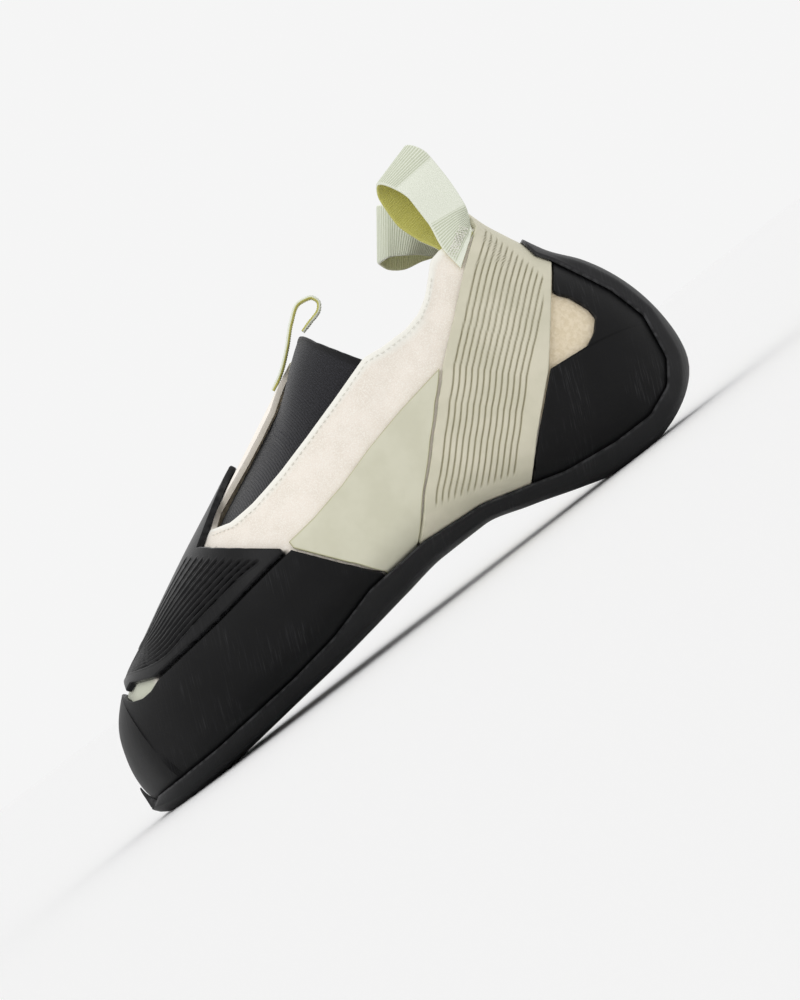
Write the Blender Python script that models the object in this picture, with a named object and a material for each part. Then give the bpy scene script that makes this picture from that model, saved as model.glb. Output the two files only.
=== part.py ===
"""Climbing shoe for the left foot: a slip-on with a stretch gore, a heel strap and a cupped rubber sole.

The shoe stands on its sole. X runs from toe (-) to heel (+), -Y is the outer (little toe) side, Z is up.
Every piece is laid on one foot form, the last, and is offset from its skin by its own real thickness.
A place on the last is given by its station, 0 at the toe and 1 at the heel, and by its turn about the
middle of the section: 0 below, a quarter on the outer side, a half on the ridge, then the inner side.
"""

import math

import bpy
import numpy as np

for old in list(bpy.data.objects):
    bpy.data.objects.remove(old, do_unlink=True)

# Sizes of the whole shoe, in metres
LENGTH = 0.255
BALL_WIDTH = 0.084
HEEL_WIDTH = 0.054
INSTEP_HEIGHT = 0.106
HEEL_HEIGHT = 0.106

# Thicknesses and clearances
UPPER_WALL = 0.0020
RAND_THICKNESS = 0.0017
PATCH_THICKNESS = 0.0023
STRAP_THICKNESS = 0.0017
PANEL_THICKNESS = 0.0009
CUP_THICKNESS = 0.0017
GORE_THICKNESS = 0.0012
INSOLE_THICKNESS = 0.0020
SOLE_THICKNESS = 0.0034
SOLE_EDGE = 0.0012
HEEL_STRIP = 0.0030
WEBBING_THICKNESS = 0.0012
FRONT_WEBBING_WIDTH = 0.008
GAP = 0.0003
CURVE_ALLOWANCE = 0.0002
SEAM = GAP + CURVE_ALLOWANCE
LEAST_GAP = 0.0001
LINING_CLEARANCE = 0.0019
FLAT_DEPTH = 0.0012
GORE_FLARE = 0.0040

# Layers, as distances from the skin of the last
OVERLAY = UPPER_WALL + SEAM
SOLE_INNER = OVERLAY + max(RAND_THICKNESS, STRAP_THICKNESS, CUP_THICKNESS) + SEAM
UNDER_UPPER = -LINING_CLEARANCE
RAND_SKIN = OVERLAY + RAND_THICKNESS
TOE_X = -LENGTH / 2 + SOLE_INNER + SOLE_EDGE
HEEL_X = LENGTH / 2 - SOLE_INNER - HEEL_STRIP

# Sections of the last. Shares: along its length; inner edge, outer edge and ridge of the width;
# bottom, widest level and top of the height; and how square the upper half is
FOREFOOT = (
    # along, inner, outer, ridge, bottom, widest, top, squareness
    (0.000, 0.238, 0.238, 0.238, 0.140, 0.140, 0.140, 2.2),
    (0.008, 0.357, 0.107, 0.238, 0.084, 0.148, 0.245, 2.2),
    (0.020, 0.405, 0.024, 0.232, 0.078, 0.156, 0.312, 2.2),
    (0.044, 0.446, -0.095, 0.226, 0.077, 0.166, 0.378, 2.2),
    (0.077, 0.476, -0.190, 0.214, 0.080, 0.176, 0.437, 2.2),
    (0.129, 0.494, -0.310, 0.190, 0.091, 0.192, 0.497, 2.2),
    (0.190, 0.500, -0.405, 0.160, 0.107, 0.214, 0.568, 2.2),
    (0.262, 0.500, -0.464, 0.125, 0.126, 0.238, 0.648, 2.2),
    (0.331, 0.488, -0.500, 0.098, 0.143, 0.262, 0.720, 2.2),
    (0.391, 0.455, -0.500, 0.078, 0.162, 0.288, 0.784, 2.2),
    (0.472, 0.393, -0.482, 0.060, 0.190, 0.328, 0.872, 2.2),
    (0.552, 0.345, -0.446, 0.040, 0.215, 0.358, 0.962, 2.3),
)
REARFOOT = (
    (0.633, 0.500, -0.625, 0.020, 0.217, 0.365, 1.060, 2.4),
    (0.714, 0.490, -0.570, 0.000, 0.170, 0.348, 1.140, 2.6),
    (0.794, 0.495, -0.530, 0.000, 0.112, 0.326, 1.170, 2.8),
    (0.845, 0.495, -0.510, 0.000, 0.081, 0.312, 1.150, 2.8),
    (0.870, 0.485, -0.495, 0.000, 0.077, 0.306, 1.045, 2.8),
    (0.885, 0.475, -0.485, 0.000, 0.078, 0.303, 0.938, 2.7),
    (0.900, 0.462, -0.470, 0.000, 0.082, 0.300, 0.862, 2.6),
    (0.925, 0.425, -0.430, 0.000, 0.096, 0.298, 0.748, 2.5),
    (0.948, 0.375, -0.375, 0.000, 0.115, 0.297, 0.656, 2.4),
    (0.976, 0.265, -0.265, 0.000, 0.153, 0.297, 0.546, 2.3),
    (0.992, 0.150, -0.150, 0.000, 0.196, 0.298, 0.446, 2.2),
    (1.000, 0.000, 0.000, 0.000, 0.300, 0.300, 0.300, 2.2),
)
UNDERSIDE_SQUARENESS = 2.5

# Heights follow the instep in front and the heel behind, and change over between these shares of the length
HEIGHT_CHANGE = (FOREFOOT[-1][0], REARFOOT[0][0])

# How far pieces reach under their neighbours, as shares of a whole turn round the section
TUCK_UNDER_SOLE = 0.030
RAND_TURNED_UNDER = 0.10
GORE_UNDER_UPPER = 0.026
INSOLE_TURN = 0.12
SOLE_OPENING_TURN = 0.085

# Ends of pieces along the shoe: shares of LENGTH, counted from its middle
SOLE_OPENING_ENDS = (-0.42, 0.40)
INSOLE_ENDS = (-0.45, 0.42)

# Stations that pieces begin at or grow over, and the shares over which the sole comes to its full thickness
GORE_AHEAD_OF_THROAT = 0.020
PATCH_BORDER = 0.008
PATCH_FRONT = 0.013
RAND_OPENS = (0.20, 0.10)
RAND_TOE_TURNS = (0.46, 0.42, 0.38, 0.34)
INNER_THROAT_ROWS = (0.050, 0.065, 0.080, 0.095)
NEAR_RIDGE = 0.499
ROWS_AHEAD_OF_COLLAR_BACK = (0.0, 0.008, 0.022)
PATCH_FRONT_ROWS = (0.03, 0.07)
SOLE_TOE_ROWS = (0.010, 0.025)
SOLE_BEVEL = 0.30
SOLE_TOE_TAPER = 0.03
SOLE_HEEL_TAPER = 0.05
HEEL_STRIP_START = (0.75, 0.10)

# How the meshes are laid: sampling, the weight of a bend, lift over flat facets, and what counts as one point
SAMPLES = 81
CURVE_STEP = 10
ROW_BEND_WEIGHT = 0.10
COLUMN_BEND_WEIGHT = 0.7
SHARPEST_BEND = 0.5
ROW_SMOOTHING = 5
SAG_MARGIN = 1.15
WALL_KEPT = 0.5
SAME_POINT = 5e-6
SMALL_STEP = 0.002
NOTHING = 1e-9

# Outlines seen from the outer side: share of LENGTH from the toe, share of the height from the floor
SOLE_EDGE_LINE = (
    (0.004, 0.085), (0.060, 0.088), (0.128, 0.094), (0.285, 0.127), (0.363, 0.156), (0.442, 0.208),
    (0.540, 0.226), (0.638, 0.203), (0.706, 0.158), (0.755, 0.123), (0.834, 0.099), (0.896, 0.099),
    (0.940, 0.142), (0.963, 0.217), (0.974, 0.377), (0.959, 0.509), (0.938, 0.613), (0.919, 0.705),
    (0.904, 0.755), (0.902, 0.819),
)
RAND_TOP = ((0.069, 0.410), (0.128, 0.392), (0.245, 0.425), (0.344, 0.458), (0.389, 0.470))
RAND_REAR = ((0.389, 0.470), (0.469, 0.224))
PATCH_REAR = ((0.378, 0.495), (0.285, 0.667), (0.389, 0.830))
ALMOND = ((0.072, 0.413), (0.092, 0.434), (0.128, 0.401))
THROAT_NEAR = (
    (0.313, 0.687), (0.344, 0.665), (0.383, 0.670), (0.442, 0.698), (0.500, 0.736), (0.559, 0.778),
    (0.627, 0.830),
)
THROAT_FAR = ((0.313, 0.687), (0.332, 0.728), (0.363, 0.759), (0.402, 0.797), (0.442, 0.840), (0.481, 0.887))
GORE_TOP = ((0.627, 0.830), (0.576, 1.022))
COLLAR = (
    (0.627, 0.830), (0.657, 0.821), (0.696, 0.821), (0.724, 0.835), (0.747, 0.868), (0.767, 0.915),
    (0.783, 0.953), (0.802, 0.962), (0.853, 0.953), (0.880, 0.950),
)
PANEL_TOP = ((0.377, 0.491), (0.442, 0.509), (0.500, 0.538), (0.559, 0.580), (0.618, 0.613), (0.708, 0.651))
STRAP_FRONT = ((0.534, 0.226), (0.708, 0.651), (0.813, 0.861), (0.865, 0.950))
STRAP_BACK = ((0.706, 0.159), (0.755, 0.283), (0.821, 0.428), (0.853, 0.519), (0.889, 0.623), (0.918, 0.704))
WINDOW = (
    (0.706, 0.159), (0.755, 0.283), (0.821, 0.428), (0.842, 0.410), (0.873, 0.406), (0.900, 0.434),
    (0.916, 0.472), (0.916, 0.509), (0.904, 0.585), (0.889, 0.623), (0.918, 0.704),
)


def smooth_table(at, values):
    """Returns a function through the table that keeps each column free of overshoot."""
    step = np.diff(at)
    slope = np.diff(values, axis=0) / step[:, None]
    tangent = np.zeros_like(values)
    same_way = slope[:-1] * slope[1:] > 0
    mean = 2 * slope[:-1] * slope[1:] / np.where(same_way, slope[:-1] + slope[1:], 1)
    tangent[1:-1] = np.where(same_way, mean, 0)
    tangent[0] = slope[0]
    tangent[-1] = slope[-1]

    def read(x):
        x = np.clip(x, at[0], at[-1])
        row = np.clip(np.searchsorted(at, x, side="right") - 1, 0, len(at) - 2)
        width = step[row]
        t = (x - at[row]) / width
        t = t[..., None]
        width = width[..., None]
        start = (1 + 2 * t) * (1 - t) ** 2 * values[row] + t * (1 - t) ** 2 * width * tangent[row]
        end = t ** 2 * (3 - 2 * t) * values[row + 1] - t ** 2 * (1 - t) * width * tangent[row + 1]
        return start + end

    return read


def height_at(along):
    return np.interp(along, HEIGHT_CHANGE, (INSTEP_HEIGHT, HEEL_HEIGHT))


def seen_at(along, height):
    """Where a point of the side view lies: x and z."""
    return (along - 0.5) * LENGTH, height * height_at(along)


def station_of(x):
    share = np.clip((np.asarray(x, float) - TOE_X) / (HEEL_X - TOE_X), 0, 1)
    return np.arccos(1 - 2 * share) / math.pi


def x_of(station):
    return TOE_X + (HEEL_X - TOE_X) * (1 - np.cos(math.pi * np.asarray(station, float))) / 2


def section_rows():
    rows = []
    parts = (FOREFOOT, BALL_WIDTH, INSTEP_HEIGHT), (REARFOOT, HEEL_WIDTH, HEEL_HEIGHT)
    for table, width, height in parts:
        for along, inner, outer, ridge, bottom, widest, top, square in table:
            station = math.acos(1 - 2 * along) / math.pi
            sides = (inner * width, outer * width, ridge * width)
            levels = (bottom * height, widest * height, top * height)
            rows.append((station,) + sides + levels + (square,))
    return np.array(rows)


ROWS = section_rows()
section_at = smooth_table(ROWS[:, 0], ROWS[:, 1:])


def reach(station, side, up):
    """Distance from the middle of the section to its skin, towards a direction in its plane."""
    inner, outer, ridge, bottom, widest, top, square = np.moveaxis(section_at(station), -1, 0)
    across = np.maximum(np.where(side > 0, inner - ridge, ridge - outer), NOTHING)
    tall = np.maximum(np.where(up > 0, top - widest, widest - bottom), NOTHING)
    power = np.where(up > 0, square, UNDERSIDE_SQUARENESS)
    return (np.abs(side / across) ** power + np.abs(up / tall) ** power) ** (-1 / power)


def skin(station, turn):
    station, turn = np.broadcast_arrays(np.asarray(station, float), np.asarray(turn, float))
    side = -np.sin(turn * 2 * math.pi)
    up = -np.cos(turn * 2 * math.pi)
    far = reach(station, side, up)
    row = section_at(station)
    return np.stack((x_of(station), row[..., 2] + far * side, row[..., 4] + far * up), axis=-1)


def outward(station, turn):
    station, turn = np.broadcast_arrays(np.asarray(station, float), np.asarray(turn, float))
    near = np.clip(station - SMALL_STEP, 0, 1)
    ahead = np.clip(station + SMALL_STEP, 0, 1)
    along = skin(ahead, turn) - skin(near, turn)
    around = skin(station, turn + SMALL_STEP) - skin(station, turn - SMALL_STEP)
    normal = np.cross(along, around)
    length = np.linalg.norm(normal, axis=-1, keepdims=True)
    normal = normal / np.maximum(length, NOTHING ** 2)
    pole = (station < NOTHING) | (station > 1 - NOTHING)
    tip = np.zeros_like(normal)
    tip[..., 0] = np.where(station < 0.5, -1.0, 1.0)
    return np.where(pole[..., None], tip, normal)


def turn_at(station, z, inner_side=False):
    """The turn at which the skin has this height, on the outer or the inner side."""
    inner, outer, ridge, bottom, widest, top, square = section_at(np.asarray(station, float))
    across = max(inner - ridge if inner_side else ridge - outer, NOTHING)
    up = z - widest
    tall = max(top - widest if up > 0 else widest - bottom, NOTHING)
    power = square if up > 0 else UNDERSIDE_SQUARENESS
    share = min(abs(up) / tall, 1)
    side = across * (1 - share ** power) ** (1 / power)
    angle = math.atan2(side, -math.copysign(share * tall, up)) / (2 * math.pi)
    return 1 - angle if inner_side else angle


def place(point, distance, inner_side=False):
    """Station and turn of a point of the side view, for a surface this far from the skin."""
    x, z = seen_at(*point)
    base_x, base_z = x, z
    for _ in range(8):
        station = float(station_of(base_x))
        turn = turn_at(station, base_z, inner_side)
        normal = outward(station, turn)
        base_x = 0.5 * base_x + 0.5 * (x - distance * normal[0])
        base_z = 0.5 * base_z + 0.5 * (z - distance * normal[2])
    return station, turn


def traced(points, distance, inner_side=False, parts=5):
    """Stations and turns along an outline of the side view, with points added between its corners."""
    result = []
    for first, last in zip(points, points[1:]):
        for part in range(parts):
            share = part / parts
            point = [a + (b - a) * share for a, b in zip(first, last)]
            result.append(place(point, distance, inner_side))
    result.append(place(points[-1], distance, inner_side))
    return np.array(result)


def edge_along(points, distance, inner_side=False):
    """An edge that runs along the shoe: a function from station to turn."""
    line = traced(points, distance, inner_side)
    order = np.argsort(line[:, 0])
    return lambda station: np.interp(station, line[order, 0], line[order, 1])


def edge_across(line, low, high):
    """An edge that runs round the shoe: a function from the share between two edges to station."""
    share = (line[:, 1] - low(line[:, 0])) / (high(line[:, 0]) - low(line[:, 0]))
    share = np.maximum.accumulate(share + np.arange(len(share)) * 1e-7)
    return lambda v: np.interp(v, share, line[:, 0])


def spread(count, curves, bend_weight, extra=()):
    """Shares along a family of curves, closer together where the curves bend."""
    steps = np.diff(curves, axis=-2)
    length = np.linalg.norm(steps, axis=-1)
    unit = steps / np.maximum(length[..., None], NOTHING)
    cosine = np.clip(np.sum(unit[..., 1:, :] * unit[..., :-1, :], axis=-1), -1, 1)
    bend = np.zeros_like(length)
    bend[..., 1:] = np.arccos(cosine)
    cost = length / np.maximum(length.sum(axis=-1, keepdims=True), NOTHING)
    cost = cost + bend_weight * np.minimum(bend, SHARPEST_BEND)
    cost = cost.reshape(-1, cost.shape[-1]).mean(axis=0)
    total = np.concatenate(([0], np.cumsum(cost)))
    shares = np.linspace(0, 1, len(total))
    chosen = np.interp(np.linspace(0, total[-1], count), total, shares)
    anchors = {0: 0.0, len(chosen) - 1: 1.0}
    for value in sorted(extra):
        before = max(number for number in anchors if anchors[number] < value)
        free = range(before + 1, len(chosen) - 1)
        anchors[min(free, key=lambda number: abs(chosen[number] - value))] = value
    numbers = sorted(anchors)
    return np.interp(chosen, chosen[numbers], [anchors[number] for number in numbers])


def grid(low, high, start, end, along, across, stops=()):
    """Stations and turns of a patch between a low and a high edge, and a start and an end line.

    Its rows and columns suit both sides of the foot, so that the patch can be laid on either. Along is the
    number of rows, or their shares of the way where they have to match another patch.
    """
    fine = np.linspace(0, 1, SAMPLES)
    some = fine[::CURVE_STEP]

    def fill(u, v):
        first = start(v)
        station = first + u[:, None] * (end(v) - first)
        turn = low(station) + v * (high(station) - low(station))
        return station, turn

    station, turn = fill(fine, some[None, :])
    curves = np.concatenate((skin(station, turn), skin(station, 1 - turn)), axis=1)
    u = spread(along, np.swapaxes(curves, 0, 1), ROW_BEND_WEIGHT, stops) if np.ndim(along) == 0 else along
    station, turn = fill(u, fine[None, :])
    curves = np.stack((skin(station, turn), skin(station, 1 - turn)), axis=1)
    v = np.array([spread(across, both, COLUMN_BEND_WEIGHT) for both in curves])
    for _ in range(ROW_SMOOTHING):
        v[1:-1] = (v[:-2] + 2 * v[1:-1] + v[2:]) / 4
    return fill(u, v)


def grid_cells(rows, columns, start=0):
    """The four corners of each cell of a grid whose points are numbered row by row."""
    corners = [start + row * columns + column for row in range(rows - 1) for column in range(columns - 1)]
    return [(corner, corner + 1, corner + columns + 1, corner + columns) for corner in corners]


def solid_body(name, material, points, faces):
    mesh = bpy.data.meshes.new(name)
    mesh.from_pydata([tuple(point) for point in points], [], faces)
    mesh.validate()
    mesh.shade_smooth()
    mesh.set_sharp_from_angle(angle=math.radians(42))
    mesh.materials.append(material)
    body = bpy.data.objects.new(name, mesh)
    bpy.context.collection.objects.link(body)
    return body


def close_wall(name, material, base, normal, cells, inner, outer, floor=None):
    """Makes one closed solid of a sheet: an inner and an outer skin and a rim along each free edge."""
    keys = {}
    index = []
    for number, point in enumerate(base):
        key = tuple(np.round(point / SAME_POINT).astype(int))
        index.append(keys.setdefault(key, number))
    used = sorted(set(index))
    new_number = {old: new for new, old in enumerate(used)}
    index = [new_number[old] for old in index]
    base, normal, inner, outer = base[used], normal[used], inner[used], outer[used]
    sheet = []
    for cell in cells:
        corners = []
        for corner in (index[old] for old in cell):
            if corner not in corners:
                corners.append(corner)
        if len(corners) < 3:
            continue
        a, b, c = (base[corner] for corner in corners[:3])
        facing = np.cross(b - a, c - a)
        if len(corners) == 4:
            facing = np.cross(c - a, base[corners[3]] - b)
        if np.dot(facing, normal[corners].mean(axis=0)) < 0:
            corners.reverse()
        sheet.append(corners)
    edges = {}
    for corners in sheet:
        for a, b in zip(corners, corners[1:] + corners[:1]):
            edges[(a, b)] = True
    outside = base + normal * outer[:, None]
    inside = base + normal * inner[:, None]
    if floor is not None:
        outside[:, 2] = np.maximum(outside[:, 2], floor(outside))
    count = len(base)
    faces = [list(corners) for corners in sheet]
    faces += [[corner + count for corner in reversed(corners)] for corners in sheet]
    faces += [[b, a, a + count, b + count] for a, b in edges if (b, a) not in edges]
    return solid_body(name, material, np.vstack((outside, inside)), faces)


def facet_sag(points, normals, level):
    """How far flat facets cut inside a curved wall at this distance from the skin, for each place."""
    rows, columns = level.shape
    sag = np.zeros(level.shape)
    for down, right in ((1, 0), (0, 1), (1, 1), (1, -1)):
        here = (slice(0, rows - down), slice(max(0, -right), columns - max(0, right)))
        there = (slice(down, rows), slice(max(0, right), columns - max(0, -right)))
        turned = normals[there] - normals[here]
        step = points[there] - points[here] + turned * (level[there] + level[here])[..., None] / 2
        depth = np.sum(step * turned, axis=-1) / 8 * SAG_MARGIN
        sag[here] = np.maximum(sag[here], depth)
        sag[there] = np.maximum(sag[there], depth)
    return sag


def lay(name, material, patches, inner, outer, floor=None, lifted=True):
    """Lays a piece on the last. Its patches are pairs of stations and turns, and they join where they meet.

    The inner skin of an overlay is lifted clear of the curved wall that it covers.
    """
    layers = []
    cells = []
    for station, turn in patches:
        base = skin(station, turn)
        normal = outward(station, turn)
        low = np.broadcast_to(inner, station.shape)
        high = np.broadcast_to(outer, station.shape)
        if lifted:
            lift = np.maximum(facet_sag(base, normal, low) - (SEAM - LEAST_GAP), 0)
            low = low + np.minimum(lift, (high - low) * (1 - WALL_KEPT))
        cells += grid_cells(*station.shape, start=sum(len(layer[0]) for layer in layers))
        layers.append((base.reshape(-1, 3), normal.reshape(-1, 3), low.ravel(), high.ravel()))
    base, normal, low, high = (np.concatenate(group) for group in zip(*layers))
    return close_wall(name, material, base, normal, cells, low, high, floor)


def finish(name, colour, roughness):
    material = bpy.data.materials.new(name)
    material.use_nodes = True
    shader = material.node_tree.nodes["Principled BSDF"]
    shader.inputs["Base Color"].default_value = (*colour, 1)
    shader.inputs["Roughness"].default_value = roughness
    shader.inputs["Metallic"].default_value = 0
    return material


def constant(value):
    return lambda at: np.full_like(np.asarray(at, float), value)


def mirrored(edge):
    return lambda station: 1 - edge(station)


def moved(points, ahead=0.0, up=0.0):
    """The same outline, shifted by real distances in the side view."""
    return tuple((along + ahead / LENGTH, height + up / height_at(along)) for along, height in points)


def both_sides(points, distance):
    """An outline over the ridge: up the outer side and down the inner side."""
    line = traced(points, distance)
    other = line[::-1].copy()
    other[:, 1] = 1 - other[:, 1]
    return np.vstack((line, other))


def eased(value):
    value = np.clip(value, 0, 1)
    return value * value * (3 - 2 * value)


# Edges that several pieces share
sole_side_edge = edge_along(SOLE_EDGE_LINE[:12], SOLE_INNER)
throat_lateral = traced(THROAT_NEAR + COLLAR[1:], UPPER_WALL)
throat_medial = np.vstack((traced(THROAT_FAR, UPPER_WALL), traced(COLLAR, UPPER_WALL, inner_side=True)))
THROAT_TIP = float(throat_lateral[0, 0])
COLLAR_BACK = float(throat_lateral[np.argmax(throat_lateral[:, 1] > NEAR_RIDGE), 0])
SOLE_OPENING = [float(station_of(share * LENGTH)) for share in SOLE_OPENING_ENDS]


def tucked_edge(station):
    return sole_side_edge(station) - TUCK_UNDER_SOLE


def near_edge(station):
    return np.interp(station, throat_lateral[:, 0], throat_lateral[:, 1], right=0.5)


def far_edge(station):
    far = np.interp(station, throat_medial[:, 0], throat_medial[:, 1], right=0.5)
    return np.maximum(far, near_edge(station))


def sole_opening(station):
    middle = (SOLE_OPENING[0] + SOLE_OPENING[1]) / 2
    half = (SOLE_OPENING[1] - SOLE_OPENING[0]) / 2
    return SOLE_OPENING_TURN * np.clip(1 - ((station - middle) / half) ** 4, 0, 1) ** 0.5


def build_upper():
    """One wall from toe to heel, with the throat and collar above and the sole opening below."""
    back = [COLLAR_BACK - gap for gap in ROWS_AHEAD_OF_COLLAR_BACK]
    inner_throat = [float(station_of(share * LENGTH)) for share in INNER_THROAT_ROWS]
    stops = [SOLE_OPENING[0], THROAT_TIP, SOLE_OPENING[1]] + inner_throat + back
    near = grid(sole_opening, near_edge, constant(0.0), constant(1.0), 42, 12, stops)
    far = grid(sole_opening, mirrored(far_edge), constant(0.0), constant(1.0), near[0][:, 0], 12)
    patches = [near, (far[0], 1 - far[1])]
    lay("upper", finish("cream_suede", (0.77, 0.71, 0.60), 0.9), patches, 0.0, UPPER_WALL, lifted=False)


# Rand and toe patch: the border between them starts on the ridge at the toe
rand_line = traced(RAND_TOP, RAND_SKIN)
rand_line[0, 1] = 0.5
PATCH_START = float(rand_line[0, 0])


def rand_edge(station):
    return np.interp(station, rand_line[:, 0], rand_line[:, 1], left=0.5)


def rand_underside(station):
    first, width = RAND_OPENS
    return RAND_TURNED_UNDER * np.clip((station - first) / width, 0, 1) ** 0.5


def patch_border(points):
    """The patch's lower edge, from the ridge at the toe back along the rand."""
    line = traced(moved(points, up=2 * SEAM), RAND_SKIN)
    line[0] = (PATCH_START + PATCH_BORDER, 0.5)
    return lambda station: np.interp(station, line[:, 0], line[:, 1])


def build_rand():
    rear = edge_across(traced(RAND_REAR[::-1], RAND_SKIN), rand_underside, rand_edge)
    across_toe = np.interp(RAND_TOE_TURNS, rand_line[::-1, 1], rand_line[::-1, 0])
    stops = across_toe / float(rear(1.0))
    station, turn = grid(rand_underside, rand_edge, constant(0.0), rear, 22, 10, stops)
    patches = [(station, turn), (station, 1 - turn)]
    lay("rand", finish("rand_rubber", (0.018, 0.018, 0.019), 0.55), patches, OVERLAY, RAND_SKIN)


def build_toe_patch():
    low = patch_border(ALMOND + RAND_TOP[2:])
    high = mirrored(patch_border(RAND_TOP))
    inner_corner = traced((PATCH_REAR[2], PATCH_REAR[0]), RAND_SKIN, inner_side=True)
    rear = edge_across(np.vstack((traced(PATCH_REAR, RAND_SKIN), inner_corner)), low, high)
    patch = grid(low, high, constant(PATCH_START + PATCH_FRONT), rear, 12, 15, PATCH_FRONT_ROWS)
    rubber = finish("toe_rubber", (0.016, 0.016, 0.017), 0.5)
    lay("toe_patch", rubber, [patch], OVERLAY, OVERLAY + PATCH_THICKNESS)


def build_side_panels():
    distance = OVERLAY + PANEL_THICKNESS
    top = edge_along(PANEL_TOP, distance)
    front = edge_across(traced(moved(RAND_REAR[::-1], ahead=2 * SEAM), distance), tucked_edge, top)
    back = edge_across(traced(moved(STRAP_FRONT[:2], ahead=-3 * SEAM), distance), tucked_edge, top)
    station, turn = grid(tucked_edge, top, front, back, 8, 7)
    sage = finish("sage_microfibre", (0.60, 0.60, 0.46), 0.7)
    lay("side_panel_lateral", sage, [(station, turn)], OVERLAY, distance)
    lay("side_panel_medial", sage, [(station, 1 - turn)], OVERLAY, distance)


def build_strap():
    distance = OVERLAY + STRAP_THICKNESS
    front = edge_across(both_sides(STRAP_FRONT, distance), tucked_edge, mirrored(tucked_edge))
    back = edge_across(both_sides(STRAP_BACK, distance), tucked_edge, mirrored(tucked_edge))
    patch = grid(tucked_edge, mirrored(tucked_edge), front, back, 6, 31)
    lay("strap", finish("strap_rubber", (0.62, 0.59, 0.45), 0.6), [patch], OVERLAY, distance)


def build_heel_cup():
    distance = OVERLAY + CUP_THICKNESS
    outline = both_sides(moved(WINDOW, ahead=SEAM, up=-SEAM), distance)
    front = edge_across(outline, constant(0.0), constant(1.0))
    patch = grid(constant(0.0), constant(1.0), front, constant(1.0), 8, 36)
    lay("heel_cup", finish("heel_rubber", (0.018, 0.018, 0.019), 0.55), [patch], OVERLAY, distance)


def build_gore():
    """Knit across the throat, under the edges of the upper, with its free top edge standing proud."""
    def low(station):
        return near_edge(station) - GORE_UNDER_UPPER

    def high(station):
        return far_edge(station) + GORE_UNDER_UPPER

    outer_side = traced(GORE_TOP, UPPER_WALL)
    inner_side = traced(GORE_TOP[::-1], UPPER_WALL, inner_side=True)
    top = edge_across(np.vstack((outer_side, inner_side)), low, high)
    station, turn = grid(low, high, constant(THROAT_TIP - GORE_AHEAD_OF_THROAT), top, 12, 11)
    rise = eased((station - THROAT_TIP) / (station[-1].min() - THROAT_TIP) * 2 - 1)
    across = (turn - turn[:, :1]) / (turn[:, -1:] - turn[:, :1])
    lift = UNDER_UPPER + GORE_FLARE * rise * np.sin(math.pi * across) ** 4
    knit = finish("gore_knit", (0.03, 0.03, 0.035), 0.9)
    lay("gore", knit, [(station, turn)], lift - GORE_THICKNESS, lift, lifted=False)


def build_insole():
    start, end = (constant(float(station_of(share * LENGTH))) for share in INSOLE_ENDS)
    patch = grid(constant(-INSOLE_TURN), constant(INSOLE_TURN), start, end, 12, 6)
    board = finish("insole_board", (0.55, 0.50, 0.42), 0.9)
    lay("insole", board, [patch], UNDER_UPPER - INSOLE_THICKNESS, UNDER_UPPER, lifted=False)


def cast(origin, direction):
    """Where lines from inside the last leave its skin, as stations and turns."""
    near = np.zeros(direction.shape[:-1])
    far = np.full(direction.shape[:-1], LENGTH)
    for _ in range(40):
        middle = (near + far) / 2
        point = origin + direction * middle[..., None]
        station = station_of(point[..., 0])
        row = section_at(station)
        side = point[..., 1] - row[..., 2]
        up = point[..., 2] - row[..., 4]
        distance = np.maximum(np.hypot(side, up), NOTHING)
        limit = reach(station, side / distance, up / distance)
        inside = (distance < limit) & (point[..., 0] > TOE_X) & (point[..., 0] < HEEL_X)
        near = np.where(inside, middle, near)
        far = np.where(inside, far, middle)
    turn = np.mod(np.arctan2(-side, -up) / (2 * math.pi), 1)
    return station, turn


# The sole is swept along a spine under the foot, which turns up round these two middles at toe and heel
TOE_TURN = (0.19, 0.28)
HEEL_TURN = (0.83, 0.42)
SOLE_ROWS = 41
SOLE_COLUMNS = 13


def spine_row(station, turn):
    """Stations and turns across the sole, from a point of its outer edge to the inner edge as high."""
    toe, heel = (seen_at(*turning) for turning in (TOE_TURN, HEEL_TURN))
    outer_point = skin(station, turn)
    inner_point = skin(station, turn_at(station, outer_point[2], inner_side=True))
    x = min(max(outer_point[0], toe[0]), heel[0])
    z = np.interp(x, (toe[0], heel[0]), (toe[1], heel[1]))
    origin = np.array((x, section_at(np.array(station))[2], z))
    down = np.array((outer_point[0] - x, 0, outer_point[2] - z))
    down /= np.linalg.norm(down)
    ends = []
    for point in (outer_point, inner_point):
        ends.append(math.atan2(point[1] - origin[1], np.dot(point - origin, down)))

    def fan(share):
        angle = ends[0] + (ends[1] - ends[0]) * share
        return cast(origin, np.cos(angle)[:, None] * down + np.sin(angle)[:, None] * np.array((0, 1, 0)))

    curve = skin(*fan(np.linspace(0, 1, SAMPLES)))
    return fan(spread(SOLE_COLUMNS, curve[None, :], COLUMN_BEND_WEIGHT))


def sole_thickness(along, across):
    """Thin at its edges and ends, full under the foot, and a strip of its own thickness up the heel."""
    first, width = HEEL_STRIP_START
    full = SOLE_THICKNESS + (HEEL_STRIP - SOLE_THICKNESS) * eased((along - first) / width)
    bevel = eased((1 - np.abs(across)) / SOLE_BEVEL)
    taper = eased(along / SOLE_TOE_TAPER) * eased((1 - along) / SOLE_HEEL_TAPER)
    return SOLE_EDGE + (full - SOLE_EDGE) * bevel * taper


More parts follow.
